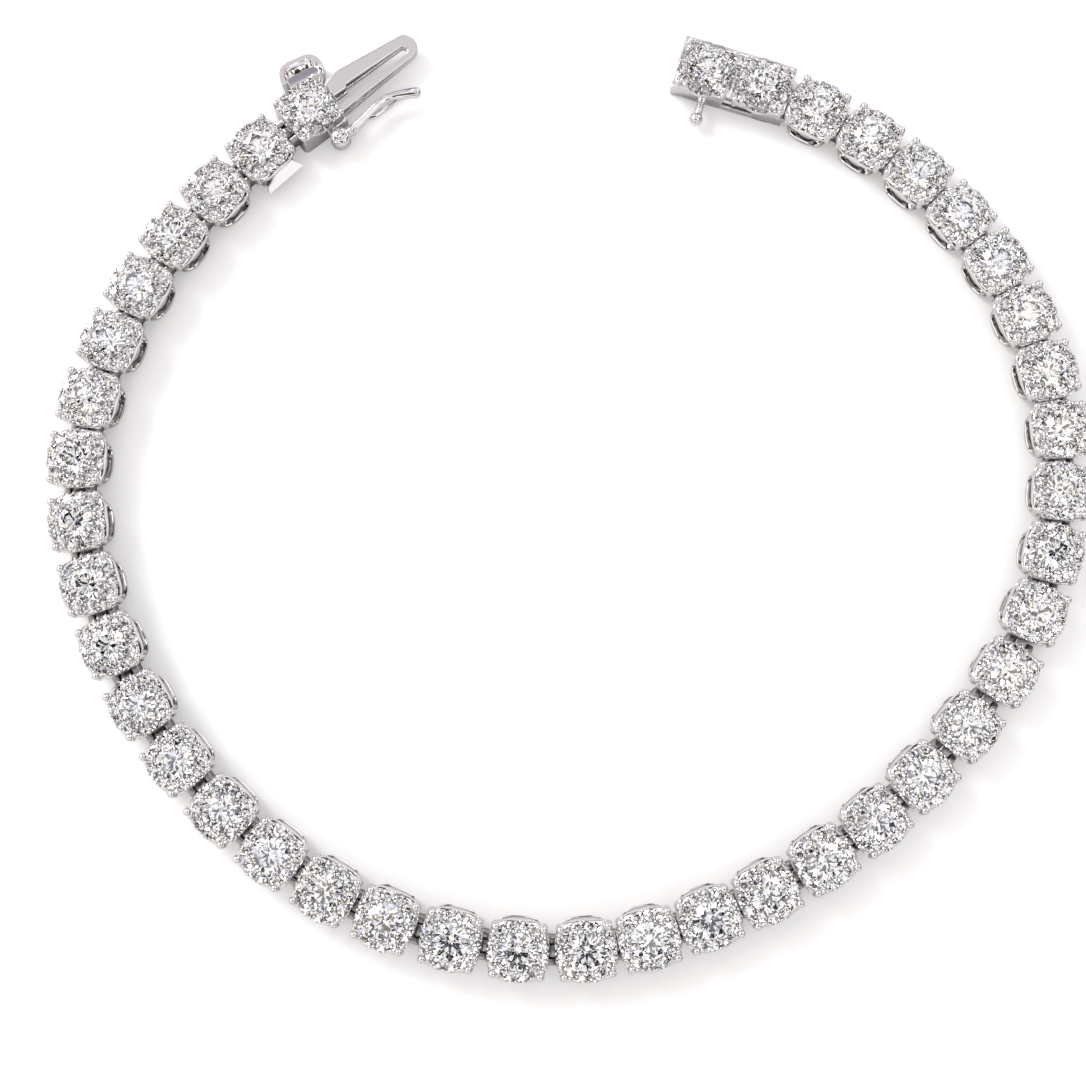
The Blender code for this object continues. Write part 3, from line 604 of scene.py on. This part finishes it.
def hinge_side(reach, root):
    """Two outer knuckles and the pin between them, at the +X end."""
    inner = CENTRAL_HALF_WIDTH + KNUCKLE_SIDE_GAP
    pin = swept([(reach, -inner, HINGE_HEIGHT), (reach, inner, HINGE_HEIGHT)],
                round_section(PIN_RADIUS, 10))
    return joined(knuckle(reach, root, inner, KNUCKLE_HALF_SPAN),
                  knuckle(reach, root, -KNUCKLE_HALF_SPAN, -inner), pin)


def basket_metal():
    """Four corner posts, two end walls, two side rails and the base ring of a link.

    The rows of the first three are wall_patch's, and the ring's are those of rings.
    """
    post = [(1.92, 1.98, 1.99, 14), (1.84, 2.03, 2.05, 18), (1.66, 1.98, 2.06, 17),
            (1.42, 1.86, 2.05, 13), (1.15, 1.76, 2.03, 10), (0.90, 1.70, 2.01, 9),
            (0.70, 1.66, 1.99, 10), (0.50, 1.62, 1.97, 14), (0.30, 1.60, 1.96, 16)]
    end = [(1.80, 1.98, 2.00, 42), (1.60, 1.74, 1.90, 40), (1.38, 1.32, 1.80, 40),
           (1.15, 1.13, 1.76, 42), (0.30, 1.13, 1.74, 42)]
    rail = [(0.60, 1.60, 1.96, 52), (0.56, 1.62, 2.00, 52), (0.44, 1.62, 2.01, 52),
            (0.30, 1.60, 1.98, 52), (0.26, 1.56, 1.94, 52)]
    corners = [wall_patch(side * angle, post, POST_THICKNESS)
               for side in (1, -1) for angle in (POST_ANGLE, math.pi - POST_ANGLE)]
    ends = [wall_patch(k * math.pi, end, END_WALL_THICKNESS) for k in range(2)]
    rails = [wall_patch(side * math.pi / 2, rail, RAIL_THICKNESS, 24) for side in (1, -1)]
    base = rings([
        (1.09, 1.88, 3.0, 0.00), (1.14, 1.93, 3.0, 0.04), (1.15, 1.96, 3.0, 0.22),
        (1.15, 1.97, 3.0, 0.44), (1.12, 1.93, 3.0, 0.52), (1.02, 1.80, 3.0, 0.54),
        (0.88, 1.66, 3.0, 0.50), (0.84, 1.62, 3.0, 0.28), (0.88, 1.66, 3.0, 0.04),
        (0.96, 1.76, 3.0, 0.00)])
    return joined(*corners, *ends, *rails, flipped(base))


def hinge_metal():
    """A link's outer knuckles and pin at one end and its central knuckle at the other."""
    return joined(hinge_side(HINGE_REACH, KNUCKLE_ROOT),
                  knuckle(-HINGE_REACH, -KNUCKLE_ROOT, -CENTRAL_HALF_WIDTH, CENTRAL_HALF_WIDTH))


def tag_metal():
    """A bare plate hung under the inner side of link 2's rim.

    At share s of the way down and share x across, the plate lies at the top reach plus the
    sweep times s, less the bow times x squared times (1 - s) to the power 1.5, and at the
    top height less the drop times s. Its half length grows by the flare times s. The back
    lies behind by the thickness, shared out between reach and height by the slope there.
    """
    down = np.concatenate([[0.0, 0.0], np.linspace(0.02, 0.98, 12), [1.0, 1.0],
                           np.linspace(0.98, 0.02, 12)])
    layer = np.concatenate([[1.0, 0.15], np.zeros(12), [0.15, 0.85], np.ones(12)])
    across = np.linspace(-1.0, 1.0, 17)[:, None]
    half = TAG_TOP_HALF + TAG_FLARE * down
    behind = layer * TAG_THICKNESS
    slope = 0.35 + 0.65 * (1 - down)
    y = (TAG_TOP_REACH + TAG_SWEEP * down - TAG_BOW * across**2 * (1 - down) ** 1.5
         - behind * slope)
    z = TAG_TOP - TAG_DROP * down - behind * (1 - 0.6 * slope)
    points = np.stack(np.broadcast_arrays(across * half, y, z), axis=-1)
    return capped(points)


def tongue_link_metal():
    """Square body under the first head, open for the spring, with the lever's bracket."""
    half, wall = TONGUE_BODY_HALF, BOX_WALL
    front = -half + POCKET_DEPTH
    slot_low = LEAF_TOP - LEAF_THICKNESS - SEAT_GAP
    bracket_top = BRACKET_BOTTOM + BRACKET_THICKNESS
    slabs = [
        ((-half, -half, 0), (front + wall, half, slot_low)),
        ((front, -half + wall, 0), (half - wall, half - wall, BOX_FLOOR)),
        ((-PIVOT_ALONG - PIVOT_CAP_RADIUS, half - wall, BRACKET_BOTTOM),
         (-PIVOT_ALONG + PIVOT_CAP_RADIUS, PIVOT_OUT + PIVOT_CAP_RADIUS, bracket_top))]
    cap_low = PIVOT_TOP - PIVOT_CAP_THICKNESS
    post = copies(revolved([
        (0.05, PIVOT_TOP), (0.20, PIVOT_TOP - 0.02), (0.32, PIVOT_TOP - 0.07),
        (PIVOT_CAP_RADIUS, cap_low), (PIVOT_RADIUS, cap_low),
        (PIVOT_RADIUS, bracket_top - BRACKET_THICKNESS / 2)], 20), shift(-PIVOT_ALONG, PIVOT_OUT))
    walls = [soft_box(low, high, SLAB_EDGE) for low, high in slabs]
    return joined(*walls, post, square_head(0.0))


def leaf(top_at_root, top_at_tip):
    """One leaf of the spring: a strip between an outer and an inner outline, in a U.

    Both outlines have the same number of points: a side, the round nose and the other
    side, and each side runs evenly from its place at the root to its place at the tip. The
    outer side of the slot steps in near the head, and the shoulder there is drawn in by a
    share squared. Each section is a soft rectangle between the two outlines, and the
    height runs evenly from the root to the tip.
    """
    root = -TONGUE_BODY_HALF + POCKET_DEPTH - SEAT_GAP
    arc = np.linspace(math.pi / 2, 3 * math.pi / 2, 25)
    run = np.concatenate([np.linspace(0.0, SLOT_STEP_SHARE - 0.02, 8),
                          np.linspace(SLOT_STEP_SHARE, 1.0, 18)])

    def outline(root_sides, tip_sides, apex, drawn_in):
        half = (tip_sides[1] - tip_sides[0]) / 2
        nose_x = apex + half
        x = root + run * (nose_x - root)
        low, high = (near + run * (far - near) for near, far in zip(root_sides, tip_sides))
        nose = np.column_stack([nose_x + half * np.cos(arc),
                                np.mean(tip_sides) - half * np.sin(arc)])
        return np.vstack([np.column_stack([x, low + drawn_in]), nose[1:-1],
                          np.column_stack([x, high])[::-1]])

    shoulder = SHOULDER * np.clip(1 - run / SHOULDER_SHARE, 0.0, 1.0) ** 2
    step = np.where(run < SLOT_STEP_SHARE, SLOT_STEP, 0.0)
    outer = outline(TONGUE_ROOT_SIDES, TONGUE_TIP_SIDES, TONGUE_APEX, shoulder)
    inner = outline(SLOT_ROOT_SIDES, SLOT_TIP_SIDES, SLOT_END, step)
    section = soft_section(0.5, 0.5, 0.10)
    share = section[:, 0] + 0.5
    plan = outer[:, None] * (1 - share[:, None]) + inner[:, None] * share[:, None]
    along = (root - plan[..., 0]) / (root - TONGUE_APEX)
    height = top_at_root + along * (top_at_tip - top_at_root)
    points = np.dstack([plan, height + (section[:, 1] - 0.5) * LEAF_THICKNESS])
    return capped(points)


def spring_metal():
    """The folded spring with its slot, the bend at the tip and the curled thumb tab.

    The tab is a soft rectangle carried along its plan; its lower edge drops and its height
    shrinks where it runs back under the upper leaf. A slanting scoop fills its inner side.
    """
    upper = leaf(LEAF_TOP, LEAF_TOP)
    lower = leaf(FREE_LEAF_BOTTOM + LEAF_THICKNESS - 0.1, LEAF_TOP - LEAF_THICKNESS + 0.05)
    middle = FREE_LEAF_BOTTOM + SEAT_GAP + TAB_HEIGHT / 2
    path = smooth_path([(x, y, middle) for x, y in TAB_PLAN], 48)
    drop = TAB_DROP * np.clip((path[:, 1] - TAB_DROP_FROM) / TAB_DROP_RUN, 0.0, 1.0)
    path[:, 2] -= drop
    high = (TAB_HEIGHT - 2 * drop)[:, None]
    unit = soft_section(0.5, 0.5, 0.14)
    section = np.stack(np.broadcast_arrays(unit[:, 0] * TAB_THICKNESS, unit[:, 1] * high), axis=-1)
    scoop = swept(smooth_path(SCOOP, 12),
                  soft_section(SCOOP_HALF_WIDTH, SCOOP_HALF_THICKNESS, 0.06), SCOOP_UP)
    return joined(upper, lower, swept(path, section), scoop)


def lever_metal():
    """Safety lever from its pivot: a domed barrel, a knob, and two wires round a long eye.

    The upper wire swells towards the ball at its tip.
    """
    low = BRACKET_BOTTOM + BRACKET_THICKNESS + LEVER_FOOT_GAP
    high = PIVOT_TOP - PIVOT_CAP_THICKNESS - LEVER_GAP
    hole, edge, foot = PIVOT_RADIUS + LEVER_GAP, BARREL_EDGE, BARREL_EDGE / 2
    arc = np.linspace(0.0, math.pi / 2, 7)
    radius = np.concatenate([[hole], BARREL_RADIUS - edge * (1 - np.sin(arc)),
                             BARREL_RADIUS - foot * (1 - np.cos(arc)), [hole]])
    height = np.concatenate([[high], high - edge * (1 - np.cos(arc)),
                             low + foot * (1 - np.sin(arc)), [low]])
    barrel = revolved(np.column_stack([radius, height]), 32, True)
    knob = copies(ball(LEVER_KNOB_RADIUS, 20, 13), shift(*LEVER_KNOB))
    swell = np.interp(np.linspace(0.0, 1.0, 56), *zip(*LEVER_SWELL))
    upper = swept(smooth_path(LEVER_UPPER, 56),
                  swell[:, None, None] * round_section(LEVER_UPPER_RADIUS, 16))
    lower = swept(smooth_path(LEVER_LOWER, 56), round_section(LEVER_LOWER_RADIUS, 12))
    tip = copies(ball(LEVER_TIP_RADIUS, 22, 13), shift(*LEVER_UPPER[-1]))
    return joined(barrel, knob, upper, lower, tip)


def clasp_box_metal():
    """Hollow box under the last two heads, with its side slot, ball post and knuckle."""
    half, wide, near, wall = BOX_HALF_LENGTH, BOX_HALF_WIDTH, BOX_NEAR_WIDTH, BOX_WALL
    inner_end = -half + RECESS_DEPTH
    slot_end = wall - BOX_SLOT_LENGTH
    slot_far = slot_end + BOX_SLOT_LENGTH
    slot_top = POST_HEIGHT + BOX_SLOT_HEIGHT
    wall_top, lid, side_top, end_top = 1.32, 2.04, 2.10, 1.70
    gap_low, gap_high = -0.36, 0.18
    slabs = [
        # Floor and outer wall
        ((inner_end, -wide, 0), (half, near, BOX_FLOOR)),
        ((inner_end, -wide, 0), (half, -wide + wall, side_top)),
        ((-half, -wide + 0.01, 1.55), (half - 0.3, -1.72, side_top - 0.01)),
        # Bridge between the two heads, and the lid's two ends
        ((gap_low, -wide + 0.2, 1.55), (gap_high, -1.0, lid)),
        ((gap_low, -1.1, 1.40), (gap_high, near - 0.25, 1.66)),
        ((-half, -1.7, BOX_HEAD_BOTTOM), (-half + 0.3, near - 0.1, lid)),
        ((half - 0.24, -1.8, BOX_HEAD_BOTTOM), (half, near - 0.1, lid)),
        # Inner wall about its slot, and the slot's lip
        ((inner_end, near - wall, 0), (slot_end, near, wall_top)),
        ((slot_far, near - wall, 0), (half, near - 0.01, wall_top - 0.01)),
        ((slot_end - wall, near - wall, 0), (slot_far + wall, near - 0.02, POST_HEIGHT)),
        ((slot_end - wall, near - wall, slot_top), (slot_far + wall, near - 0.02, wall_top)),
        ((slot_end, near - 0.1, POST_HEIGHT - 0.1), (slot_far, near + 0.14, POST_HEIGHT)),
        # Closed end and the three ribs that run to the hinge
        ((inner_end, -1.8, 0), (inner_end + BOX_FLOOR, near - 0.1, end_top)),
        ((-half, -0.45, 0), (inner_end + wall, 0.45, end_top)),
        ((-half, -wide + 0.02, 0), (inner_end + wall, -wide + 0.24, end_top)),
        ((-half, near - 0.24, 0), (inner_end + wall, near - 0.03, wall_top))]
    walls = [soft_box(low, high, SLAB_EDGE) for low, high in slabs]
    post_x, r = half - POST_FROM_MOUTH, BALL_RADIUS
    post = swept([(post_x, near - wall, POST_HEIGHT), (post_x, POST_REACH, POST_HEIGHT)],
                 round_section(POST_RADIUS, 18))
    ball_place = shift(post_x, POST_REACH, POST_HEIGHT)
    end = copies(ball(r, 24, 15), ball_place)
    seam = copies(revolved([(r - 0.02, 0.05), (r + 0.01, 0.03), (r + 0.01, -0.03),
                            (r - 0.02, -0.05)], 24), ball_place @ turn("X", SEAM_TILT))
    collar = copies(revolved([(0.28, 0.30), (0.36, 0.10), (0.42, -0.10)], 18),
                    shift(post_x, near, POST_HEIGHT) @ turn("X", -math.pi / 2))
    heads = copies(square_head(BOX_HEAD_BOTTOM), shift(np.array(BOX_HEADS), 0, 0))
    hinge = knuckle(-BOX_HINGE_REACH, -half + wall / 2, -CENTRAL_HALF_WIDTH, CENTRAL_HALF_WIDTH)
    return joined(*walls, post, end, seam, collar, heads, hinge)


def route_points():
    """Head centres: each leg of the smooth route is shared out evenly among its links."""
    points = np.array([row[:2] for row in ROUTE])
    chord, slope, inner = leg_slopes(points)
    tangent = np.vstack([2 * slope[0] - inner[0], inner, 2 * slope[-1] - inner[-1]])
    t = np.linspace(0.0, 1.0, 61)[:, None]
    stations = []
    for k, (_, _, links) in enumerate(ROUTE[:-1]):
        leg = hermite(t, points[k], chord[k] * tangent[k], points[k + 1], chord[k] * tangent[k + 1])
        length = np.append(0.0, np.cumsum(np.hypot(*np.diff(leg, axis=0).T)))
        for share in np.arange(links) / links * length[-1]:
            stations.append([np.interp(share, length, leg[:, i]) for i in (0, 1)])
    return np.array([*stations, points[-1]])


def station_matrix(centre, heading, lean=0.0):
    """A leaned piece's place, with its lowest edge on the surface."""
    lift = LEAN_PIVOT_HEIGHT * math.cos(lean) + BASKET_FOOT_HALF_WIDTH * math.sin(lean)
    return (shift(centre[0], centre[1], lift) @ turn("Z", heading) @ turn("X", lean)
            @ shift(0, 0, -LEAN_PIVOT_HEIGHT))


def stations(pivot):
    """Places of the tongue link, of each link and of the clasp box, in the frame.

    The lever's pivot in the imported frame, less its place by the route, is the shift that
    centred the bracelet.
    """
    centres = route_points()
    last = len(centres) - 1
    tongue = station_matrix(centres[0], TONGUE_HEADING - math.pi)
    offset = pivot[:2] - (tongue @ [-PIVOT_ALONG, PIVOT_OUT, 0.0, 1.0])[:2]
    centred = shift(offset[0], offset[1], 0)
    links = {}
    for k in range(1, last - 1):
        ahead = centres[k + 1] - centres[k - 1]
        lean = math.radians(np.interp(k / last, *zip(*LEAN)))
        links[k + 1] = centred @ station_matrix(centres[k], math.atan2(ahead[1], ahead[0]), lean)
    across = centres[last] - centres[last - 1]
    middle = (centres[last] + centres[last - 1]) / 2
    box = centred @ station_matrix(middle, math.atan2(across[1], across[0]))
    return centred @ tongue, links, box


def make_piece(name, shape, material, smooth=True):
    """A mesh object at the origin from a shape's points and faces."""
    points, faces = shape
    mesh = bpy.data.meshes.new(name)
    sizes = np.concatenate([np.full(len(face), face.shape[1]) for face in faces])
    corners = np.concatenate([face.ravel() for face in faces])
    mesh.vertices.add(len(points))
    mesh.vertices.foreach_set("co", (points * MM).astype(np.float32).ravel())
    mesh.loops.add(len(corners))
    mesh.loops.foreach_set("vertex_index", corners.astype(np.int32))
    mesh.polygons.add(len(sizes))
    mesh.polygons.foreach_set("loop_start", np.r_[0, np.cumsum(sizes)[:-1]].astype(np.int32))
    mesh.update(calc_edges=True)
    mesh.validate()
    if smooth:
        mesh.shade_smooth()
        mesh.set_sharp_from_angle(angle=SHARP_ANGLE)
    else:
        mesh.shade_flat()
    mesh.materials.append(material)
    piece = bpy.data.objects.new(name, mesh)
    bpy.context.scene.collection.objects.link(piece)
    return piece


def new_material(name):
    """A node material, its nodes and its links."""
    material = bpy.data.materials.new(name)
    material.use_nodes = True
    return material, material.node_tree.nodes, material.node_tree.links


def set_values(node, **values):
    """Sets a node's inputs to plain values, by their names with _ for a space."""
    for name, value in values.items():
        node.inputs[name.replace("_", " ")].default_value = value


def object_noise(nodes, links, scale, detail=2.0):
    """Soft noise on object coordinates; the scale counts waves in a metre."""
    where = nodes.new("ShaderNodeTexCoord")
    noise = nodes.new("ShaderNodeTexNoise")
    set_values(noise, Scale=scale, Detail=detail)
    links.new(where.outputs["Object"], noise.inputs["Vector"])
    return noise.outputs["Fac"]


def colour_mix(nodes, links, factor, first, second, blend="MIX"):
    """A mix of two colours by a factor, each a plain value or another node's output."""
    mix = nodes.new("ShaderNodeMix")
    mix.data_type = "RGBA"
    mix.blend_type = blend
    for name, value in (("Factor", factor), ("A", first), ("B", second)):
        if isinstance(value, bpy.types.NodeSocket):
            links.new(value, mix.inputs[name])
        else:
            mix.inputs[name].default_value = value
    return mix.outputs["Result"]


def colour_ramp(nodes, links, value, rows, interpolation):
    """A ramp through the rows of position and shade, read at a value."""
    ramp = nodes.new("ShaderNodeValToRGB")
    ramp.color_ramp.interpolation = interpolation
    stops = ramp.color_ramp.elements
    while len(stops) < len(rows):
        stops.new(0.5)
    for stop, (position, shade) in zip(stops, rows):
        stop.position = position
        stop.color = (*shade, 1.0)
    links.new(value, ramp.inputs["Fac"])
    return ramp.outputs["Color"]


def split_camera_rays(nodes, links, seen, elsewhere, surface):
    """Shows one shader to the camera and another to every mirror, stone and shade."""
    ray = nodes.new("ShaderNodeLightPath")
    mix = nodes.new("ShaderNodeMixShader")
    links.new(ray.outputs["Is Camera Ray"], mix.inputs["Fac"])
    links.new(elsewhere, mix.inputs[1])
    links.new(seen, mix.inputs[2])
    links.new(mix.outputs["Shader"], surface)


def white_gold(name, colour, roughness):
    """Polished white gold: faint cloudy polish, a slight change of tone and a soft ripple."""
    material, nodes, links = new_material(name)
    shader = nodes["Principled BSDF"]
    set_values(shader, Metallic=1.0)
    cloud = object_noise(nodes, links, 900.0, 3.0)
    polish = nodes.new("ShaderNodeMapRange")
    set_values(polish, From_Min=0.3, From_Max=0.7, To_Min=roughness * 0.7, To_Max=roughness * 1.4)
    links.new(cloud, polish.inputs["Value"])
    links.new(polish.outputs["Result"], shader.inputs["Roughness"])
    dimmer = (*[c * 0.97 for c in colour], 1.0)
    links.new(colour_mix(nodes, links, cloud, dimmer, (*colour, 1.0)), shader.inputs["Base Color"])
    bump = nodes.new("ShaderNodeBump")
    set_values(bump, Strength=0.10, Distance=0.02 * MM)
    links.new(object_noise(nodes, links, 1500.0), bump.inputs["Height"])
    links.new(bump.outputs["Normal"], shader.inputs["Normal"])
    return material


def diamond():
    """A colourless brilliant-cut stone: clear, with the refraction of diamond."""
    material, nodes, _ = new_material("colourless_diamond")
    set_values(nodes["Principled BSDF"], Base_Color=(1.0, 1.0, 1.0, 1.0), Roughness=0.0,
               IOR=DIAMOND_REFRACTION, Transmission_Weight=1.0)
    return material


def pale_floor():
    """A matt near-white surface, lit a little from below as on a light table.

    Mirrors and stones see it as a separate darker grey instead: a painted darker reflection of the
    floor.
    """
    material, nodes, links = new_material("pale_paper")
    shader = nodes["Principled BSDF"]
    set_values(shader, Roughness=0.9, Specular_IOR_Level=0.2,
               Emission_Color=(1.0, 0.99, 0.98, 1.0), Emission_Strength=FLOOR_GLOW)
    tone = colour_mix(nodes, links, object_noise(nodes, links, 250.0),
                      (0.930, 0.927, 0.922, 1.0), (0.940, 0.938, 0.934, 1.0))
    links.new(tone, shader.inputs["Base Color"])
    # Painted darker reflection: mirrors and stones see this grey floor in place of the pale one
    grey = nodes.new("ShaderNodeBsdfDiffuse")
    set_values(grey, Color=(*FLOOR_IN_MIRRORS, 1.0))
    split_camera_rays(nodes, links, shader.outputs["BSDF"], grey.outputs["BSDF"],
                      nodes["Material Output"].inputs["Surface"])
    return material


def above_aim(tilt):
    """A place at the camera's distance from its aim, tipped from straight above by a tilt."""
    return shift(*AIM) @ turn("X", tilt) @ shift(0, 0, CAMERA_DISTANCE)


def make_camera():
    """The photo's view: nearly straight down, from the near side of the loop."""
    data = bpy.data.cameras.new("camera")
    data.lens = FOCAL_PIXELS / PHOTO_PIXELS * SENSOR_MM
    data.sensor_width = SENSOR_MM
    data.clip_start = 0.001
    camera = bpy.data.objects.new("camera", data)
    bpy.context.scene.collection.objects.link(camera)
    camera.location = above_aim(CAMERA_TILT)[:3, 3] * MM
    camera.rotation_euler = (CAMERA_TILT, 0.0, 0.0)
    bpy.context.scene.camera = camera


def tent_card(nodes, links, where, under, card):
    """A round card mixed over the tent: its share falls from one between two angles.

    The angle from the card's middle comes from the dot product of the two directions.
    """
    azimuth, elevation, inner, outer = np.radians(card[:4])
    dot = nodes.new("ShaderNodeVectorMath")
    dot.operation = "DOT_PRODUCT"
    dot.inputs[1].default_value = (math.cos(elevation) * math.sin(azimuth),
                                   math.cos(elevation) * math.cos(azimuth), math.sin(elevation))
    links.new(where, dot.inputs[0])
    patch = nodes.new("ShaderNodeMapRange")
    patch.interpolation_type = "SMOOTHSTEP"
    set_values(patch, From_Min=math.cos(outer), From_Max=math.cos(inner))
    links.new(dot.outputs["Value"], patch.inputs["Value"])
    return colour_mix(nodes, links, patch.outputs["Result"], under, (*card[4], 1.0))


def studio():
    """A pale light tent with a grey roof, dark and bright panels, and a soft key from the left.

    The tent's brightness follows the upward part z of the direction: a ramp through the
    named heights. What the camera sees past the floor is plain pale paper.
    """
    world = bpy.data.worlds.new("light_tent")
    bpy.context.scene.world = world
    world.use_nodes = True
    nodes, links = world.node_tree.nodes, world.node_tree.links
    where = nodes.new("ShaderNodeTexCoord").outputs["Generated"]
    split = nodes.new("ShaderNodeSeparateXYZ")
    links.new(where, split.inputs["Vector"])
    tent = colour_ramp(nodes, links, split.outputs["Z"], TENT, "LINEAR")
    cells = nodes.new("ShaderNodeTexVoronoi")
    set_values(cells, Scale=PANEL_SCALE)
    links.new(where, cells.inputs["Vector"])
    panels = colour_ramp(nodes, links, cells.outputs["Color"], PANELS, "CONSTANT")
    shade = colour_mix(nodes, links, 1.0, tent, panels, "MULTIPLY")
    for card in TENT_CARDS:
        shade = tent_card(nodes, links, where, shade, card)
    background = nodes["Background"]
    set_values(background, Strength=TENT_STRENGTH)
    links.new(shade, background.inputs["Color"])
    paper = nodes.new("ShaderNodeBackground")
    set_values(paper, Color=(0.97, 0.97, 0.97, 1.0))
    split_camera_rays(nodes, links, paper.outputs["Background"], background.outputs["Background"],
                      nodes["World Output"].inputs["Surface"])
    key = bpy.data.lights.new("key", "AREA")
    key.shape = "DISK"
    key.size = KEY_SIZE * MM
    key.energy = KEY_ENERGY
    key.color = (1.0, 0.99, 0.975)
    lamp = bpy.data.objects.new("key", key)
    bpy.context.scene.collection.objects.link(lamp)
    way = np.array(KEY_DIRECTION) / np.linalg.norm(KEY_DIRECTION)
    lamp.location = way * KEY_DISTANCE * MM
    lamp.rotation_euler = (math.acos(way[2]), 0.0, math.atan2(way[0], -way[1]))


def lens_card():
    """A round matt black card about the lens: a flat circle that faces the bracelet."""
    circle = np.column_stack([round_section(LENS_CARD_RADIUS, LENS_CARD_SIDES),
                              np.zeros(LENS_CARD_SIDES)])
    material, nodes, _ = new_material("black_card")
    set_values(nodes["Principled BSDF"], Base_Color=(0.012, 0.012, 0.018, 1.0), Roughness=0.9)
    shape = copies((circle, [np.arange(LENS_CARD_SIDES)[None]]), above_aim(LENS_CARD_TILT))
    card = make_piece("lens_card", shape, material, False)
    card.visible_camera = False


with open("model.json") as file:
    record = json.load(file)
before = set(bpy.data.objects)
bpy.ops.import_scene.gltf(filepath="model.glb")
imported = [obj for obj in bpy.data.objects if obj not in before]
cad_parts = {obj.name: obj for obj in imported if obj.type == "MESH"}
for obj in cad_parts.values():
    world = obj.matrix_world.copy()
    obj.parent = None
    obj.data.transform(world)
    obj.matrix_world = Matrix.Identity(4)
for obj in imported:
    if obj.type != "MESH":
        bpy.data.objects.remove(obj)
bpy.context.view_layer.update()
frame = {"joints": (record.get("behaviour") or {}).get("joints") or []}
rng = np.random.default_rng(SEED)
make_camera()
studio()

LINK_GOLD = white_gold("white_gold_links", (0.90, 0.885, 0.88), 0.07)
CLASP_GOLD = white_gold("white_gold_clasp", (0.89, 0.875, 0.88), 0.09)
WIRE_GOLD = white_gold("white_gold_wire", (0.88, 0.87, 0.875), 0.06)
# Painted shade: the hinges between the links get a dark, rougher white gold that stands in for the
# shade in the gaps between the heads.
HINGE_GOLD_PAINTED_SHADE = white_gold("hinge_gold_painted_shade", (0.46, 0.45, 0.45), 0.34)
DIAMOND = diamond()

tongue_place, link_places, box_place = stations(np.array(frame["joints"][0]["pos_m"]) / MM)
link_shape = joined(cushion_head(), basket_metal())
tagged_shape = joined(link_shape, tag_metal())
for number, place in link_places.items():
    shape = tagged_shape if number == 2 else link_shape
    setting = make_piece(f"setting_{number:02d}", copies(shape, place), LINK_GOLD)
    stones = make_piece(f"stones_{number:02d}", copies(head_stones(rng), place), DIAMOND, False)
    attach(setting, "bracelet")
    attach(stones, "bracelet")
    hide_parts(f"link_{number:02d}")

# The hinges take the painted-shade gold, darker than the polished links.
hinges = make_piece("link_hinges", joined(
    copies(hinge_metal(), list(link_places.values())),
    copies(hinge_side(TONGUE_HINGE_REACH, TONGUE_BODY_HALF - BOX_WALL), tongue_place)), HINGE_GOLD_PAINTED_SHADE)
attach(hinges, "bracelet")

heads = {1: tongue_place,
         40: box_place @ shift(BOX_HEADS[0]),
         41: box_place @ shift(BOX_HEADS[1])}
for number, place in heads.items():
    stones = make_piece(f"stones_{number:02d}",
                        copies(head_stones(rng, SQUARE_HALO_SHARE), place), DIAMOND, False)
    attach(stones, "bracelet")

for name, shape, place, material, body, node, slot in (
        ("tongue_link_body", tongue_link_metal(), tongue_place, CLASP_GOLD, "bracelet",
         "tongue_link", "white_gold_clasp"),
        ("tongue_spring", spring_metal(), tongue_place, CLASP_GOLD, "bracelet",
         "spring_tongue", "white_gold_clasp"),
        ("lever_wire", lever_metal(), tongue_place @ shift(-PIVOT_ALONG, PIVOT_OUT), WIRE_GOLD,
         "lever", "safety_lever", "white_gold_wire"),
        ("clasp_shell", clasp_box_metal(), box_place, CLASP_GOLD, "bracelet", "clasp_box",
         "white_gold_clasp")):
    piece = make_piece(name, copies(shape, place), material)
    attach(piece, body)
    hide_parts(node)

lens_card()
floor = make_piece("floor", soft_box((-FLOOR_HALF, -FLOOR_HALF, -FLOOR_THICKNESS),
                                     (FLOOR_HALF, FLOOR_HALF, 0.0), FLOOR_EDGE), pale_floor())

scene = bpy.context.scene
scene.view_settings.view_transform = "Standard"
scene.cycles.max_bounces = 18
scene.cycles.transmission_bounces = 16
scene.cycles.glossy_bounces = 8
scene.cycles.caustics_reflective = False
scene.cycles.caustics_refractive = False
